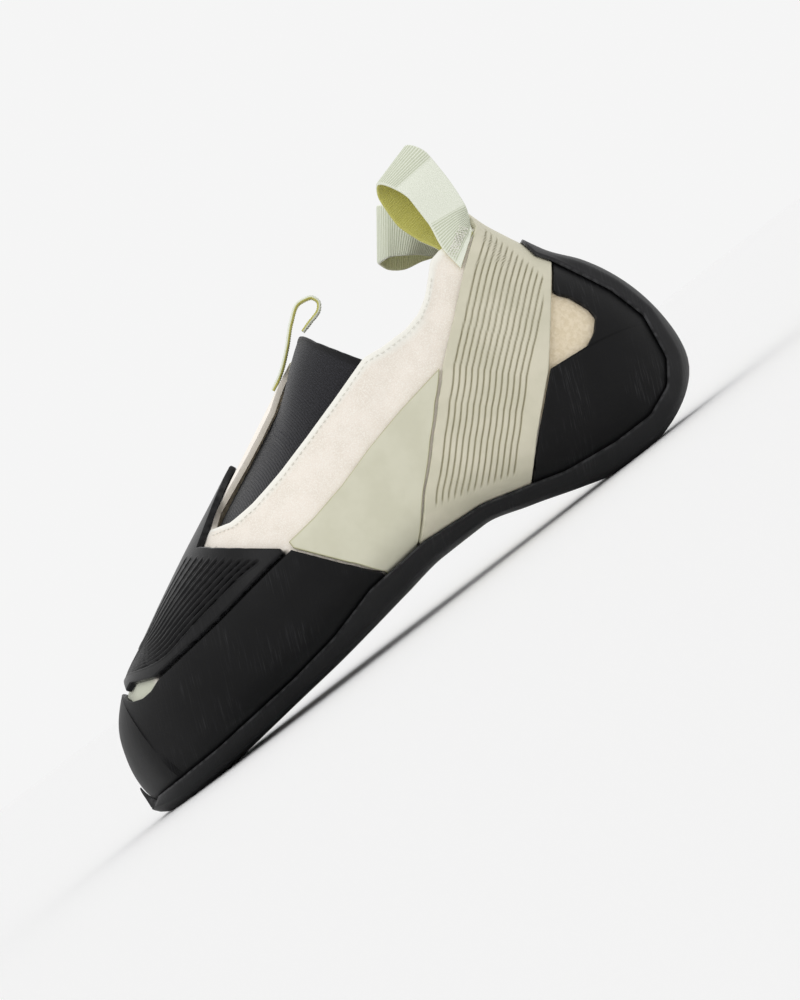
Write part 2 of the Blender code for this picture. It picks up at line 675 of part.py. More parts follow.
def build_outsole():
    edge = traced(SOLE_EDGE_LINE, SOLE_INNER, parts=3)
    side = skin(edge[:, 0], edge[:, 1])
    walked = np.concatenate(([0], np.cumsum(np.linalg.norm(np.diff(side[:, (0, 2)], axis=0), axis=1))))

    def sweep(shares):
        rows = []
        for length in shares * walked[-1]:
            station, turn = (float(np.interp(length, walked, column)) for column in edge.T)
            rows.append(spine_row(station, turn))
        return np.swapaxes(np.array(rows), 0, 1)

    curves = skin(*sweep(np.linspace(0, 1, SAMPLES)))
    along = spread(SOLE_ROWS, np.swapaxes(curves, 0, 1), ROW_BEND_WEIGHT, SOLE_TOE_ROWS)
    stations, turns = sweep(along)
    inside = skin(stations, turns)
    width = np.cumsum(np.linalg.norm(np.diff(inside, axis=1, prepend=inside[:, :1]), axis=-1), axis=1)
    outer = SOLE_INNER + sole_thickness(along[:, None], width / width[:, -1:] * 2 - 1)
    outside = skin(stations, turns) + outward(stations, turns) * outer[..., None]
    fore = outside[..., 0] < 0
    ground = max(outside[fore][:, 2].min(), outside[~fore][:, 2].min()) + FLAT_DEPTH
    rubber = finish("sole_rubber", (0.03, 0.03, 0.031), 0.6)
    lay("outsole", rubber, [(stations, turns)], SOLE_INNER, outer, floor=lambda points: ground)


# Webbing loops: both edges of the band, row by row over the loop. The place across is a share of HEEL_WIDTH
NEAR_LOOP = (
    # along and height of one edge, along and height of the other, then how far out each lies
    (0.812, 1.057, 0.870, 1.040, 0.42, 0.33),
    (0.812, 1.151, 0.873, 1.151, 0.41, 0.32),
    (0.802, 1.225, 0.872, 1.245, 0.38, 0.30),
    (0.790, 1.262, 0.857, 1.309, 0.30, 0.23),
    (0.780, 1.222, 0.845, 1.250, 0.22, 0.17),
    (0.778, 1.132, 0.842, 1.160, 0.20, 0.15),
    (0.788, 1.040, 0.844, 1.055, 0.24, 0.17),
)
FAR_LOOP = (
    (0.783, 0.985, 0.835, 1.095, 0.42, 0.33),
    (0.755, 1.000, 0.807, 1.150, 0.41, 0.34),
    (0.733, 1.040, 0.785, 1.200, 0.37, 0.32),
    (0.729, 1.066, 0.779, 1.226, 0.28, 0.23),
    (0.745, 1.060, 0.790, 1.200, 0.18, 0.14),
    (0.765, 1.032, 0.812, 1.130, 0.18, 0.12),
    (0.785, 1.000, 0.832, 1.060, 0.26, 0.18),
)
LOOP_BASE = ((0.812, 0.880), (0.846, 0.942))
LOOP_AT_COLLAR = ((0.808, 0.960), (0.851, 0.985))
LOOP_IN_COLLAR = ((0.803, 0.945), (0.838, 0.940))
LOOP_END = ((0.803, 0.865), (0.838, 0.862))
FRONT_LOOP = (
    (0.551, 1.022), (0.579, 1.085), (0.604, 1.121), (0.622, 1.112), (0.627, 1.086), (0.618, 1.058),
    (0.600, 1.046), (0.584, 1.035),
)
FRONT_LOOP_BASE = ((0.500, 0.910), (0.520, 0.950))
LOOP_COLUMNS = 4
LOOP_STEPS = 22


def ribbon(name, material, rows, steps):
    """A band of webbing whose middle runs smoothly through rows of points."""
    rows = np.array(rows)
    centre = rows.mean(axis=1)
    walked = np.concatenate(([0], np.cumsum(np.linalg.norm(np.diff(centre, axis=0), axis=1))))
    read = smooth_table(walked, rows.reshape(len(rows), -1))
    points = read(np.linspace(0, walked[-1], steps)).reshape(steps, rows.shape[1], 3)
    normal = np.cross(np.gradient(points, axis=0), np.gradient(points, axis=1))
    normal /= np.linalg.norm(normal, axis=-1, keepdims=True)
    half = np.full(steps * rows.shape[1], WEBBING_THICKNESS / 2)
    cells = grid_cells(steps, rows.shape[1])
    return close_wall(name, material, points.reshape(-1, 3), normal.reshape(-1, 3), cells, -half, half)


def row_on_skin(ends, distance, inner_side):
    row = []
    for share in np.linspace(0, 1, LOOP_COLUMNS):
        point = tuple(a + (b - a) * share for a, b in zip(*ends))
        station, turn = place(point, distance, inner_side)
        row.append(skin(station, turn) + outward(station, turn) * distance)
    return row


def free_row(values, side):
    along_a, height_a, along_b, height_b, out_a, out_b = values
    ends = []
    for along, height, out in ((along_a, height_a, out_a), (along_b, height_b, out_b)):
        x, z = seen_at(along, height)
        ends.append(np.array((x, side * out * HEEL_WIDTH, z)))
    return [ends[0] + (ends[1] - ends[0]) * share for share in np.linspace(0, 1, LOOP_COLUMNS)]


def build_heel_loop(name, table, side):
    outside = OVERLAY + WEBBING_THICKNESS / 2
    inside = UNDER_UPPER - WEBBING_THICKNESS
    inner_side = side > 0
    rows = [row_on_skin(LOOP_BASE, outside, inner_side), row_on_skin(LOOP_AT_COLLAR, outside, inner_side)]
    rows += [free_row(values, side) for values in table]
    rows += [row_on_skin(LOOP_IN_COLLAR, inside, inner_side), row_on_skin(LOOP_END, inside, inner_side)]
    ribbon(name, webbing, rows, LOOP_STEPS)


def build_front_loop():
    distance = OVERLAY + WEBBING_THICKNESS / 2
    rows = []
    for point in FRONT_LOOP_BASE:
        station = place(point, distance)[0]
        base = skin(station, 0.5) + outward(station, 0.5) * distance
        rows.append(base)
    ridge = rows[-1][1]
    for along, height in FRONT_LOOP:
        x, z = seen_at(along, height)
        rows.append(np.array((x, ridge, z)))
    half = np.array((0, FRONT_WEBBING_WIDTH / 2, 0))
    ribbon("front_pull_loop", webbing, [[row - half, row + half] for row in rows], LOOP_STEPS)


webbing = finish("webbing", (0.72, 0.75, 0.62), 0.8)
build_heel_loop("heel_pull_loop_lateral", NEAR_LOOP, -1)
build_heel_loop("heel_pull_loop_medial", FAR_LOOP, 1)
build_front_loop()
build_upper()
build_rand()
build_toe_patch()
build_side_panels()
build_strap()
build_heel_cup()
build_gore()
build_insole()
build_outsole()

# The shoe is set with the middle of its box over the origin and its flat spots on the floor
bodies = [body for body in bpy.data.objects if body.type == "MESH"]
corners = np.array([vertex.co for body in bodies for vertex in body.data.vertices])
lowest, highest = corners.min(axis=0), corners.max(axis=0)
shift = np.array(((lowest[0] + highest[0]) / 2, (lowest[1] + highest[1]) / 2, lowest[2]))
for body in bodies:
    for vertex in body.data.vertices:
        vertex.co = np.array(vertex.co) - shift
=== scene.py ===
# %% [markdown]
# # A climbing shoe, dressed
#
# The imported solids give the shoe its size, and this lesson gives it its surfaces. Every soft or rubber piece is
# laid again on the same foot form, finely enough for grooves, rolled edges, folds and stitches to be real shape.

# %% The frame
import math

import bpy
import numpy as np
from mathutils import Matrix, Vector


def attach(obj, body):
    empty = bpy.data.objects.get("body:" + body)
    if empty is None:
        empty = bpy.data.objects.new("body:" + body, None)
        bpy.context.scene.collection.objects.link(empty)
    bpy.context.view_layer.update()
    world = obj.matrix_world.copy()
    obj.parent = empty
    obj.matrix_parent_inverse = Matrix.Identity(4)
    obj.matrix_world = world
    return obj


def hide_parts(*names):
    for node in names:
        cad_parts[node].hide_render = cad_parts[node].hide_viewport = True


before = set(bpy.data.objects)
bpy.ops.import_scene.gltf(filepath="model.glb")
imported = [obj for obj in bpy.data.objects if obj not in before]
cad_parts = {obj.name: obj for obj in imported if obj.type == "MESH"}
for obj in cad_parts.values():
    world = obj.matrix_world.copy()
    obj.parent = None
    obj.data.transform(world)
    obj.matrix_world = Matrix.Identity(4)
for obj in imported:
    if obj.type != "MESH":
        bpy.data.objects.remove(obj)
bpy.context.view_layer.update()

# %% [markdown]
# ## Where the camera stands
#
# The photograph looks straight at the outer side, with the shoe tipped toe down. Here the shoe stands on the
# floor, so the camera is rolled instead. A long lens keeps the sides nearly parallel, as in a catalogue.

# %% Camera
MM = 0.001
ROLL = math.radians(37.5)
VIEW_CENTRE = Vector((0.0123, -0.022, 0.0391))
VIEW_HEIGHT = 0.3531
LENS = 135.0
SENSOR = 36.0

distance = VIEW_HEIGHT / SENSOR * LENS
right = Vector((math.cos(ROLL), 0, -math.sin(ROLL)))
up = Vector((math.sin(ROLL), 0, math.cos(ROLL)))
back = Vector((0, -1, 0))
lens = bpy.data.cameras.new("camera")
lens.lens = LENS
lens.sensor_fit = "VERTICAL"
lens.sensor_height = SENSOR
lens.clip_start = 0.01
camera = bpy.data.objects.new("camera", lens)
bpy.context.collection.objects.link(camera)
camera.matrix_world = Matrix((
    (right.x, up.x, back.x, VIEW_CENTRE.x + back.x * distance),
    (right.y, up.y, back.y, VIEW_CENTRE.y + back.y * distance),
    (right.z, up.z, back.z, VIEW_CENTRE.z + back.z * distance),
    (0, 0, 0, 1)))
bpy.context.scene.camera = camera
print("camera distance, m:", round(distance, 3))

# %% [markdown]
# ## Floor and light
#
# A pale floor and a pale surround give the black rubber something to reflect. One broad light above and in front
# models the form, and a second behind draws a line along the ridge.

# %% Studio
PALE = (0.985, 0.985, 0.985, 1)
lit = bpy.data.collections.new("lit_by_the_boxes")


def plain(name, colour, roughness):
    material = bpy.data.materials.new(name)
    material.use_nodes = True
    shader = material.node_tree.nodes["Principled BSDF"]
    shader.inputs["Base Color"].default_value = colour
    shader.inputs["Roughness"].default_value = roughness
    return material


def softbox(name, place, aim, size, power):
    light = bpy.data.lights.new(name, "AREA")
    light.shape = "RECTANGLE"
    light.size, light.size_y = size
    light.energy = power
    holder = bpy.data.objects.new(name, light)
    bpy.context.collection.objects.link(holder)
    holder.light_linking.receiver_collection = lit
    holder.location = place
    holder.rotation_euler = (Vector(aim) - Vector(place)).to_track_quat("-Z", "Y").to_euler()


floor_mesh = bpy.data.meshes.new("floor")
half_floor = 40.0
floor_corners = [(-half_floor, -half_floor, 0), (half_floor, -half_floor, 0), (half_floor, half_floor, 0),
                 (-half_floor, half_floor, 0)]
floor_mesh.from_pydata(floor_corners, [], [(0, 1, 2, 3)])
floor_mesh.materials.append(plain("floor", PALE, 0.9))
ground = bpy.data.objects.new("floor", floor_mesh)
bpy.context.collection.objects.link(ground)

world = bpy.data.worlds.new("studio")
world.use_nodes = True
world.node_tree.nodes["Background"].inputs["Color"].default_value = (0.915, 0.915, 0.915, 1)
world.node_tree.nodes["Background"].inputs["Strength"].default_value = 1.0
bpy.context.scene.world = world
bpy.context.scene.view_settings.view_transform = "Standard"
softbox("key", (-0.35, -0.75, 0.95), (0, 0, 0.05), (0.7, 0.5), 2.6)
softbox("ridge", (0.20, 0.70, 0.75), (0, 0, 0.08), (0.8, 0.3), 3.0)

# %% [markdown]
# ## The foot form
#
# A shoe is built on a last. Its skin is found from a short table of sections, each a soft square with its own
# width, height and ridge. A place on it has a station, 0 at the toe and 1 at the heel, and a turn about the
# middle of the section: 0 below, a quarter on the outer side, a half on the ridge. The table is that of the solids.

# %% Sizes and sections
LENGTH = 0.255
BALL_WIDTH = 0.084
HEEL_WIDTH = 0.054
INSTEP_HEIGHT = 0.106
HEEL_HEIGHT = 0.106
UPPER_WALL = 0.0020
RAND_THICKNESS = 0.0017
PATCH_THICKNESS = 0.0023
STRAP_THICKNESS = 0.0017
PANEL_THICKNESS = 0.0009
CUP_THICKNESS = 0.0017
GORE_THICKNESS = 0.0012
INSOLE_THICKNESS = 0.0020
SOLE_THICKNESS = 0.0034
SOLE_EDGE = 0.0012
HEEL_STRIP = 0.0030
WEBBING_THICKNESS = 0.0012
FRONT_WEBBING_WIDTH = 0.008
GAP = 0.0003
CURVE_ALLOWANCE = 0.0002
SEAM = GAP + CURVE_ALLOWANCE
LINING_CLEARANCE = 0.0019
GORE_FLARE = 0.0040
OVERLAY = UPPER_WALL + SEAM
SOLE_INNER = OVERLAY + max(RAND_THICKNESS, STRAP_THICKNESS, CUP_THICKNESS) + SEAM
UNDER_UPPER = -LINING_CLEARANCE
RAND_SKIN = OVERLAY + RAND_THICKNESS
TOE_X = -LENGTH / 2 + SOLE_INNER + SOLE_EDGE
HEEL_X = LENGTH / 2 - SOLE_INNER - HEEL_STRIP

FOREFOOT = (
    # along, inner, outer, ridge, bottom, widest, top, squareness
    (0.000, 0.238, 0.238, 0.238, 0.140, 0.140, 0.140, 2.2),
    (0.008, 0.357, 0.107, 0.238, 0.084, 0.148, 0.245, 2.2),
    (0.020, 0.405, 0.024, 0.232, 0.078, 0.156, 0.312, 2.2),
    (0.044, 0.446, -0.095, 0.226, 0.077, 0.166, 0.378, 2.2),
    (0.077, 0.476, -0.190, 0.214, 0.080, 0.176, 0.437, 2.2),
    (0.129, 0.494, -0.310, 0.190, 0.091, 0.192, 0.497, 2.2),
    (0.190, 0.500, -0.405, 0.160, 0.107, 0.214, 0.568, 2.2),
    (0.262, 0.500, -0.464, 0.125, 0.126, 0.238, 0.648, 2.2),
    (0.331, 0.488, -0.500, 0.098, 0.143, 0.262, 0.720, 2.2),
    (0.391, 0.455, -0.500, 0.078, 0.162, 0.288, 0.784, 2.2),
    (0.472, 0.393, -0.482, 0.060, 0.190, 0.328, 0.872, 2.2),
    (0.552, 0.345, -0.446, 0.040, 0.215, 0.358, 0.962, 2.3),
)
REARFOOT = (
    (0.633, 0.500, -0.625, 0.020, 0.217, 0.365, 1.060, 2.4),
    (0.714, 0.490, -0.570, 0.000, 0.170, 0.348, 1.140, 2.6),
    (0.794, 0.495, -0.530, 0.000, 0.112, 0.326, 1.170, 2.8),
    (0.845, 0.495, -0.510, 0.000, 0.081, 0.312, 1.150, 2.8),
    (0.870, 0.485, -0.495, 0.000, 0.077, 0.306, 1.045, 2.8),
    (0.885, 0.475, -0.485, 0.000, 0.078, 0.303, 0.938, 2.7),
    (0.900, 0.462, -0.470, 0.000, 0.082, 0.300, 0.862, 2.6),
    (0.925, 0.425, -0.430, 0.000, 0.096, 0.298, 0.748, 2.5),
    (0.948, 0.375, -0.375, 0.000, 0.115, 0.297, 0.656, 2.4),
    (0.976, 0.265, -0.265, 0.000, 0.153, 0.297, 0.546, 2.3),
    (0.992, 0.150, -0.150, 0.000, 0.196, 0.298, 0.446, 2.2),
    (1.000, 0.000, 0.000, 0.000, 0.300, 0.300, 0.300, 2.2),
)
UNDERSIDE_SQUARENESS = 2.5
HEIGHT_CHANGE = (FOREFOOT[-1][0], REARFOOT[0][0])
SMALL_STEP = 0.002
NOTHING = 1e-9
SHIFT = np.array((-2.47e-5, -9.3e-7, 1.34347e-3))

# %% The skin of the last


def smooth_table(at, values):
    """Returns a function through the table that keeps each column free of overshoot."""
    step = np.diff(at)
    slope = np.diff(values, axis=0) / step[:, None]
    tangent = np.zeros_like(values)
    same_way = slope[:-1] * slope[1:] > 0
    mean = 2 * slope[:-1] * slope[1:] / np.where(same_way, slope[:-1] + slope[1:], 1)
    tangent[1:-1] = np.where(same_way, mean, 0)
    tangent[0] = slope[0]
    tangent[-1] = slope[-1]

    def read(x):
        x = np.clip(x, at[0], at[-1])
        row = np.clip(np.searchsorted(at, x, side="right") - 1, 0, len(at) - 2)
        width = step[row]
        t = (x - at[row]) / width
        t = t[..., None]
        width = width[..., None]
        start = (1 + 2 * t) * (1 - t) ** 2 * values[row] + t * (1 - t) ** 2 * width * tangent[row]
        end = t ** 2 * (3 - 2 * t) * values[row + 1] - t ** 2 * (1 - t) * width * tangent[row + 1]
        return start + end

    return read


def height_at(along):
    return np.interp(along, HEIGHT_CHANGE, (INSTEP_HEIGHT, HEEL_HEIGHT))


def seen_at(along, height):
    """Where a point of the side view lies: x and z."""
    return (along - 0.5) * LENGTH, height * height_at(along)


def station_of(x):
    share = np.clip((np.asarray(x, float) - TOE_X) / (HEEL_X - TOE_X), 0, 1)
    return np.arccos(1 - 2 * share) / math.pi


def x_of(station):
    return TOE_X + (HEEL_X - TOE_X) * (1 - np.cos(math.pi * np.asarray(station, float))) / 2


def section_rows():
    rows = []
    parts = (FOREFOOT, BALL_WIDTH, INSTEP_HEIGHT), (REARFOOT, HEEL_WIDTH, HEEL_HEIGHT)
    for table, width, height in parts:
        for along, inner, outer, ridge, bottom, widest, top, square in table:
            station = math.acos(1 - 2 * along) / math.pi
            sides = (inner * width, outer * width, ridge * width)
            levels = (bottom * height, widest * height, top * height)
            rows.append((station,) + sides + levels + (square,))
    return np.array(rows)


ROWS = section_rows()
section_at = smooth_table(ROWS[:, 0], ROWS[:, 1:])


def reach(station, side, up):
    """Distance from the middle of the section to its skin, towards a direction in its plane."""
    inner, outer, ridge, bottom, widest, top, square = np.moveaxis(section_at(station), -1, 0)
    across = np.maximum(np.where(side > 0, inner - ridge, ridge - outer), NOTHING)
    tall = np.maximum(np.where(up > 0, top - widest, widest - bottom), NOTHING)
    power = np.where(up > 0, square, UNDERSIDE_SQUARENESS)
    return (np.abs(side / across) ** power + np.abs(up / tall) ** power) ** (-1 / power)


def skin(station, turn):
    station, turn = np.broadcast_arrays(np.asarray(station, float), np.asarray(turn, float))
    side = -np.sin(turn * 2 * math.pi)
    up = -np.cos(turn * 2 * math.pi)
    far = reach(station, side, up)
    row = section_at(station)
    return np.stack((x_of(station), row[..., 2] + far * side, row[..., 4] + far * up), axis=-1)


def outward(station, turn):
    station, turn = np.broadcast_arrays(np.asarray(station, float), np.asarray(turn, float))
    near = np.clip(station - SMALL_STEP, 0, 1)
    ahead = np.clip(station + SMALL_STEP, 0, 1)
    along = skin(ahead, turn) - skin(near, turn)
    around = skin(station, turn + SMALL_STEP) - skin(station, turn - SMALL_STEP)
    normal = np.cross(along, around)
    length = np.linalg.norm(normal, axis=-1, keepdims=True)
    normal = normal / np.maximum(length, NOTHING ** 2)
    pole = (station < NOTHING) | (station > 1 - NOTHING)
    tip = np.zeros_like(normal)
    tip[..., 0] = np.where(station < 0.5, -1.0, 1.0)
    return np.where(pole[..., None], tip, normal)


print("last, mm:", round((HEEL_X - TOE_X) * 1000, 1), "long, skin at the ball:", np.round(skin(0.38, 0.25) * 1000, 1))

# %% [markdown]
# ## From the photograph to the skin
#
# Every outline on the shoe was read from its side view. These helpers turn such a point to its station and turn
# on the skin, for a surface at a given distance, so an edge drawn flat lands where the eye saw it.

# %% Outlines on the skin


def turn_at(station, z, inner_side=False):
    """The turn at which the skin has this height, on the outer or the inner side."""
    inner, outer, ridge, bottom, widest, top, square = section_at(np.asarray(station, float))
    across = max(inner - ridge if inner_side else ridge - outer, NOTHING)
    up = z - widest
    tall = max(top - widest if up > 0 else widest - bottom, NOTHING)
    power = square if up > 0 else UNDERSIDE_SQUARENESS
    share = min(abs(up) / tall, 1)
    side = across * (1 - share ** power) ** (1 / power)
    angle = math.atan2(side, -math.copysign(share * tall, up)) / (2 * math.pi)
    return 1 - angle if inner_side else angle


def place(point, distance, inner_side=False):
    """Station and turn of a point of the side view, for a surface this far from the skin."""
    x, z = seen_at(*point)
    base_x, base_z = x, z
    for _ in range(8):
        station = float(station_of(base_x))
        turn = turn_at(station, base_z, inner_side)
        normal = outward(station, turn)
        base_x = 0.5 * base_x + 0.5 * (x - distance * normal[0])
        base_z = 0.5 * base_z + 0.5 * (z - distance * normal[2])
    return station, turn


def traced(points, distance, inner_side=False, parts=5):
    """Stations and turns along an outline of the side view, with points added between its corners."""
    result = []
    for first, last in zip(points, points[1:]):
        for part in range(parts):
            share = part / parts
            point = [a + (b - a) * share for a, b in zip(first, last)]
            result.append(place(point, distance, inner_side))
    result.append(place(points[-1], distance, inner_side))
    return np.array(result)


def edge_along(points, distance, inner_side=False):
    """An edge that runs along the shoe: a function from station to turn."""
    line = traced(points, distance, inner_side)
    order = np.argsort(line[:, 0])
    return lambda station: np.interp(station, line[order, 0], line[order, 1])


def edge_across(line, low, high):
    """An edge that runs round the shoe: a function from the share between two edges to station."""
    share = (line[:, 1] - low(line[:, 0])) / (high(line[:, 0]) - low(line[:, 0]))
    share = np.maximum.accumulate(share + np.arange(len(share)) * 1e-7)
    return lambda v: np.interp(v, share, line[:, 0])


def constant(value):
    return lambda at: np.full_like(np.asarray(at, float), value)


def mirrored(edge):
    return lambda station: 1 - edge(station)


def moved(points, ahead=0.0, up=0.0):
    """The same outline, shifted by real distances in the side view."""
    return tuple((along + ahead / LENGTH, height + up / height_at(along)) for along, height in points)


def both_sides(points, distance):
    """An outline over the ridge: up the outer side and down the inner side."""
    line = traced(points, distance)
    other = line[::-1].copy()
    other[:, 1] = 1 - other[:, 1]
    return np.vstack((line, other))


def eased(value):
    value = np.clip(value, 0, 1)
    return value * value * (3 - 2 * value)


def measured(*points):
    """Points of the side view in millimetres, as shares of length and height."""
    return tuple(((x + 12.6) / 255, z / 106) for x, z in points)


def on_skin(points, level, inner_side=False, parts=5):
    """A line in space along an outline of the side view, this far out from the skin."""
    line = traced(points, level, inner_side, parts)
    return skin(line[:, 0], line[:, 1]) + outward(line[:, 0], line[:, 1]) * level - SHIFT


# %% [markdown]
# ## The outlines
#
# Shares of the length from the toe and of the height from the floor, the same as in the solids: the sole's edge,
# the rand and toe patch, throat and collar, the side panel, the strap and the window behind it.

# %% Outline tables
SOLE_EDGE_LINE = (
    (0.004, 0.085), (0.060, 0.088), (0.128, 0.094), (0.285, 0.127), (0.363, 0.156), (0.442, 0.208),
    (0.540, 0.226), (0.638, 0.203), (0.706, 0.158), (0.755, 0.123), (0.834, 0.099), (0.896, 0.099),
    (0.940, 0.142), (0.963, 0.217), (0.974, 0.377), (0.959, 0.509), (0.938, 0.613), (0.919, 0.705),
    (0.904, 0.755), (0.902, 0.819),
)
RAND_TOP = ((0.069, 0.410), (0.128, 0.392), (0.245, 0.425), (0.344, 0.458), (0.389, 0.470))
RAND_REAR = ((0.389, 0.470), (0.469, 0.224))
PATCH_REAR = ((0.378, 0.495), (0.285, 0.667), (0.389, 0.830))
ALMOND = ((0.072, 0.413), (0.092, 0.434), (0.128, 0.401))
THROAT_NEAR = (
    (0.313, 0.687), (0.344, 0.665), (0.383, 0.670), (0.442, 0.698), (0.500, 0.736), (0.559, 0.778),
    (0.627, 0.830),
)
THROAT_FAR = ((0.313, 0.687), (0.332, 0.728), (0.363, 0.759), (0.402, 0.797), (0.442, 0.840), (0.481, 0.887))
GORE_TOP = ((0.627, 0.830), (0.576, 1.022))
COLLAR = (
    (0.627, 0.830), (0.657, 0.821), (0.696, 0.821), (0.724, 0.835), (0.747, 0.868), (0.767, 0.915),
    (0.783, 0.953), (0.802, 0.962), (0.853, 0.953), (0.880, 0.950),
)
PANEL_TOP = ((0.377, 0.491), (0.442, 0.509), (0.500, 0.538), (0.559, 0.580), (0.618, 0.613), (0.708, 0.651))
STRAP_FRONT = ((0.534, 0.226), (0.708, 0.651), (0.813, 0.861), (0.865, 0.950))
STRAP_BACK = ((0.706, 0.159), (0.755, 0.283), (0.821, 0.428), (0.853, 0.519), (0.889, 0.623), (0.918, 0.704))
WINDOW = (
    (0.706, 0.159), (0.755, 0.283), (0.821, 0.428), (0.842, 0.410), (0.873, 0.406), (0.900, 0.434),
    (0.916, 0.472), (0.916, 0.509), (0.904, 0.585), (0.889, 0.623), (0.918, 0.704),
)
TUCK_UNDER_SOLE = 0.030
GORE_UNDER_UPPER = 0.026
SOLE_OPENING_TURN = 0.085
SOLE_OPENING_ENDS = (-0.42, 0.40)
RAND_TURNED_UNDER = 0.10
PATCH_BORDER = 0.008
PATCH_FRONT = 0.013
INSOLE_TURN = 0.12
INSOLE_ENDS = (-0.45, 0.42)
GORE_AHEAD_OF_THROAT = 0.020
sole_side_edge = edge_along(SOLE_EDGE_LINE[:12], SOLE_INNER)
throat_lateral = traced(THROAT_NEAR + COLLAR[1:], UPPER_WALL)
throat_medial = np.vstack((traced(THROAT_FAR, UPPER_WALL), traced(COLLAR, UPPER_WALL, inner_side=True)))
THROAT_TIP = float(throat_lateral[0, 0])
SOLE_OPENING = [float(station_of(share * LENGTH)) for share in SOLE_OPENING_ENDS]


def tucked_edge(station):
    return sole_side_edge(station) - TUCK_UNDER_SOLE


def near_edge(station):
    return np.interp(station, throat_lateral[:, 0], throat_lateral[:, 1], right=0.5)


def far_edge(station):
    far = np.interp(station, throat_medial[:, 0], throat_medial[:, 1], right=0.5)
    return np.maximum(far, near_edge(station))


def sole_opening(station):
    middle = (SOLE_OPENING[0] + SOLE_OPENING[1]) / 2
    half = (SOLE_OPENING[1] - SOLE_OPENING[0]) / 2
    return SOLE_OPENING_TURN * np.clip(1 - ((station - middle) / half) ** 4, 0, 1) ** 0.5


print("throat starts at station", round(THROAT_TIP, 3))

# %% [markdown]
# ## A wall from a patch of the last
#
# Leather and rubber are sheets, so each piece is a patch of skin given an inside, an outside and a rim. A crisp
# box edge looks false: rubber is ground and leather is rolled. The outer face therefore falls off in a small
# round towards every free edge, and the grid is closest there.

# %% Walls with rounded rims
EDGE_STEPS = (0.12, 0.32, 0.6, 1.0)
SAME_POINT = 5e-6


def shares(count, length, first=True, last=True, extra=()):
    """Even shares of a length in metres, with closer ones near its free ends."""
    values = list(np.linspace(0, 1, count)) + list(extra)
    for step in EDGE_STEPS:
        values += [step * MM / length] if first else []
        values += [1 - step * MM / length] if last else []
    values = np.unique(np.round(values, 6))
    return values[np.concatenate(([True], np.diff(values) > 1e-4))]


def patch(low, high, start, end, along, across):
    """Stations and turns of a patch between a low and a high edge, and a start and an end line."""
    v = across[None, :]
    station = start(v) + along[:, None] * (end(v) - start(v))
    return station, low(station) + v * (high(station) - low(station))


def walked(points, axis):
    """How far each point of a grid is from its first row or column, along the surface."""
    steps = np.linalg.norm(np.diff(points, axis=axis), axis=-1)
    start = np.zeros_like(np.take(points[..., 0], [0], axis=axis))
    return np.concatenate((start, np.cumsum(steps, axis=axis)), axis=axis)


def from_edges(points, sides):
    """Distance of each point of a grid to the nearest of its free sides: start, end, low, high."""
    along, across = walked(points, 0), walked(points, 1)
    far = {"start": along, "end": along[-1:] - along, "low": across, "high": across[:, -1:] - across}
    return np.minimum.reduce([far[side] for side in sides]) if sides else np.full(along.shape, 1.0)


def rounded(distance, radius):
    """How much a face falls at this distance from its rim."""
    share = 1 - np.clip(distance / radius, 0, 1)
    return radius * (1 - np.sqrt(1 - share ** 2))


def sheet_layer(station, turn, inner, outer, sides=(), radius=0.0006, marks=None):
    """One patch of a wall: its points on both faces, its distances for patterns, and its marks."""
    base, normal = skin(station, turn), outward(station, turn)
    edge = from_edges(base, sides)
    outer = outer - rounded(edge, radius) if sides else outer + 0 * edge
    layer = {"base": base, "normal": normal, "edge": edge, "marks": marks or {}}
    layer["outside"] = base + normal * outer[..., None] - SHIFT
    layer["inside"] = base + normal * (inner + 0 * edge)[..., None] - SHIFT
    layer["cloth"] = np.stack((walked(base, 0), walked(base, 1)), axis=-1)
    return layer


def cells_of(layer, start):
    """Corner numbers of a grid's cells, turned so that they face outwards."""
    rows, columns = layer["edge"].shape
    number = start + np.arange(rows * columns).reshape(rows, columns)
    cells = np.stack((number[:-1, :-1], number[:-1, 1:], number[1:, 1:], number[1:, :-1]), axis=-1).reshape(-1, 4)
    base = layer["base"]
    facing = np.cross(base[1:, 1:] - base[:-1, :-1], base[1:, :-1] - base[:-1, 1:])
    if np.sum(facing * layer["normal"][:-1, :-1]) < 0:
        cells = cells[:, ::-1]
    return cells


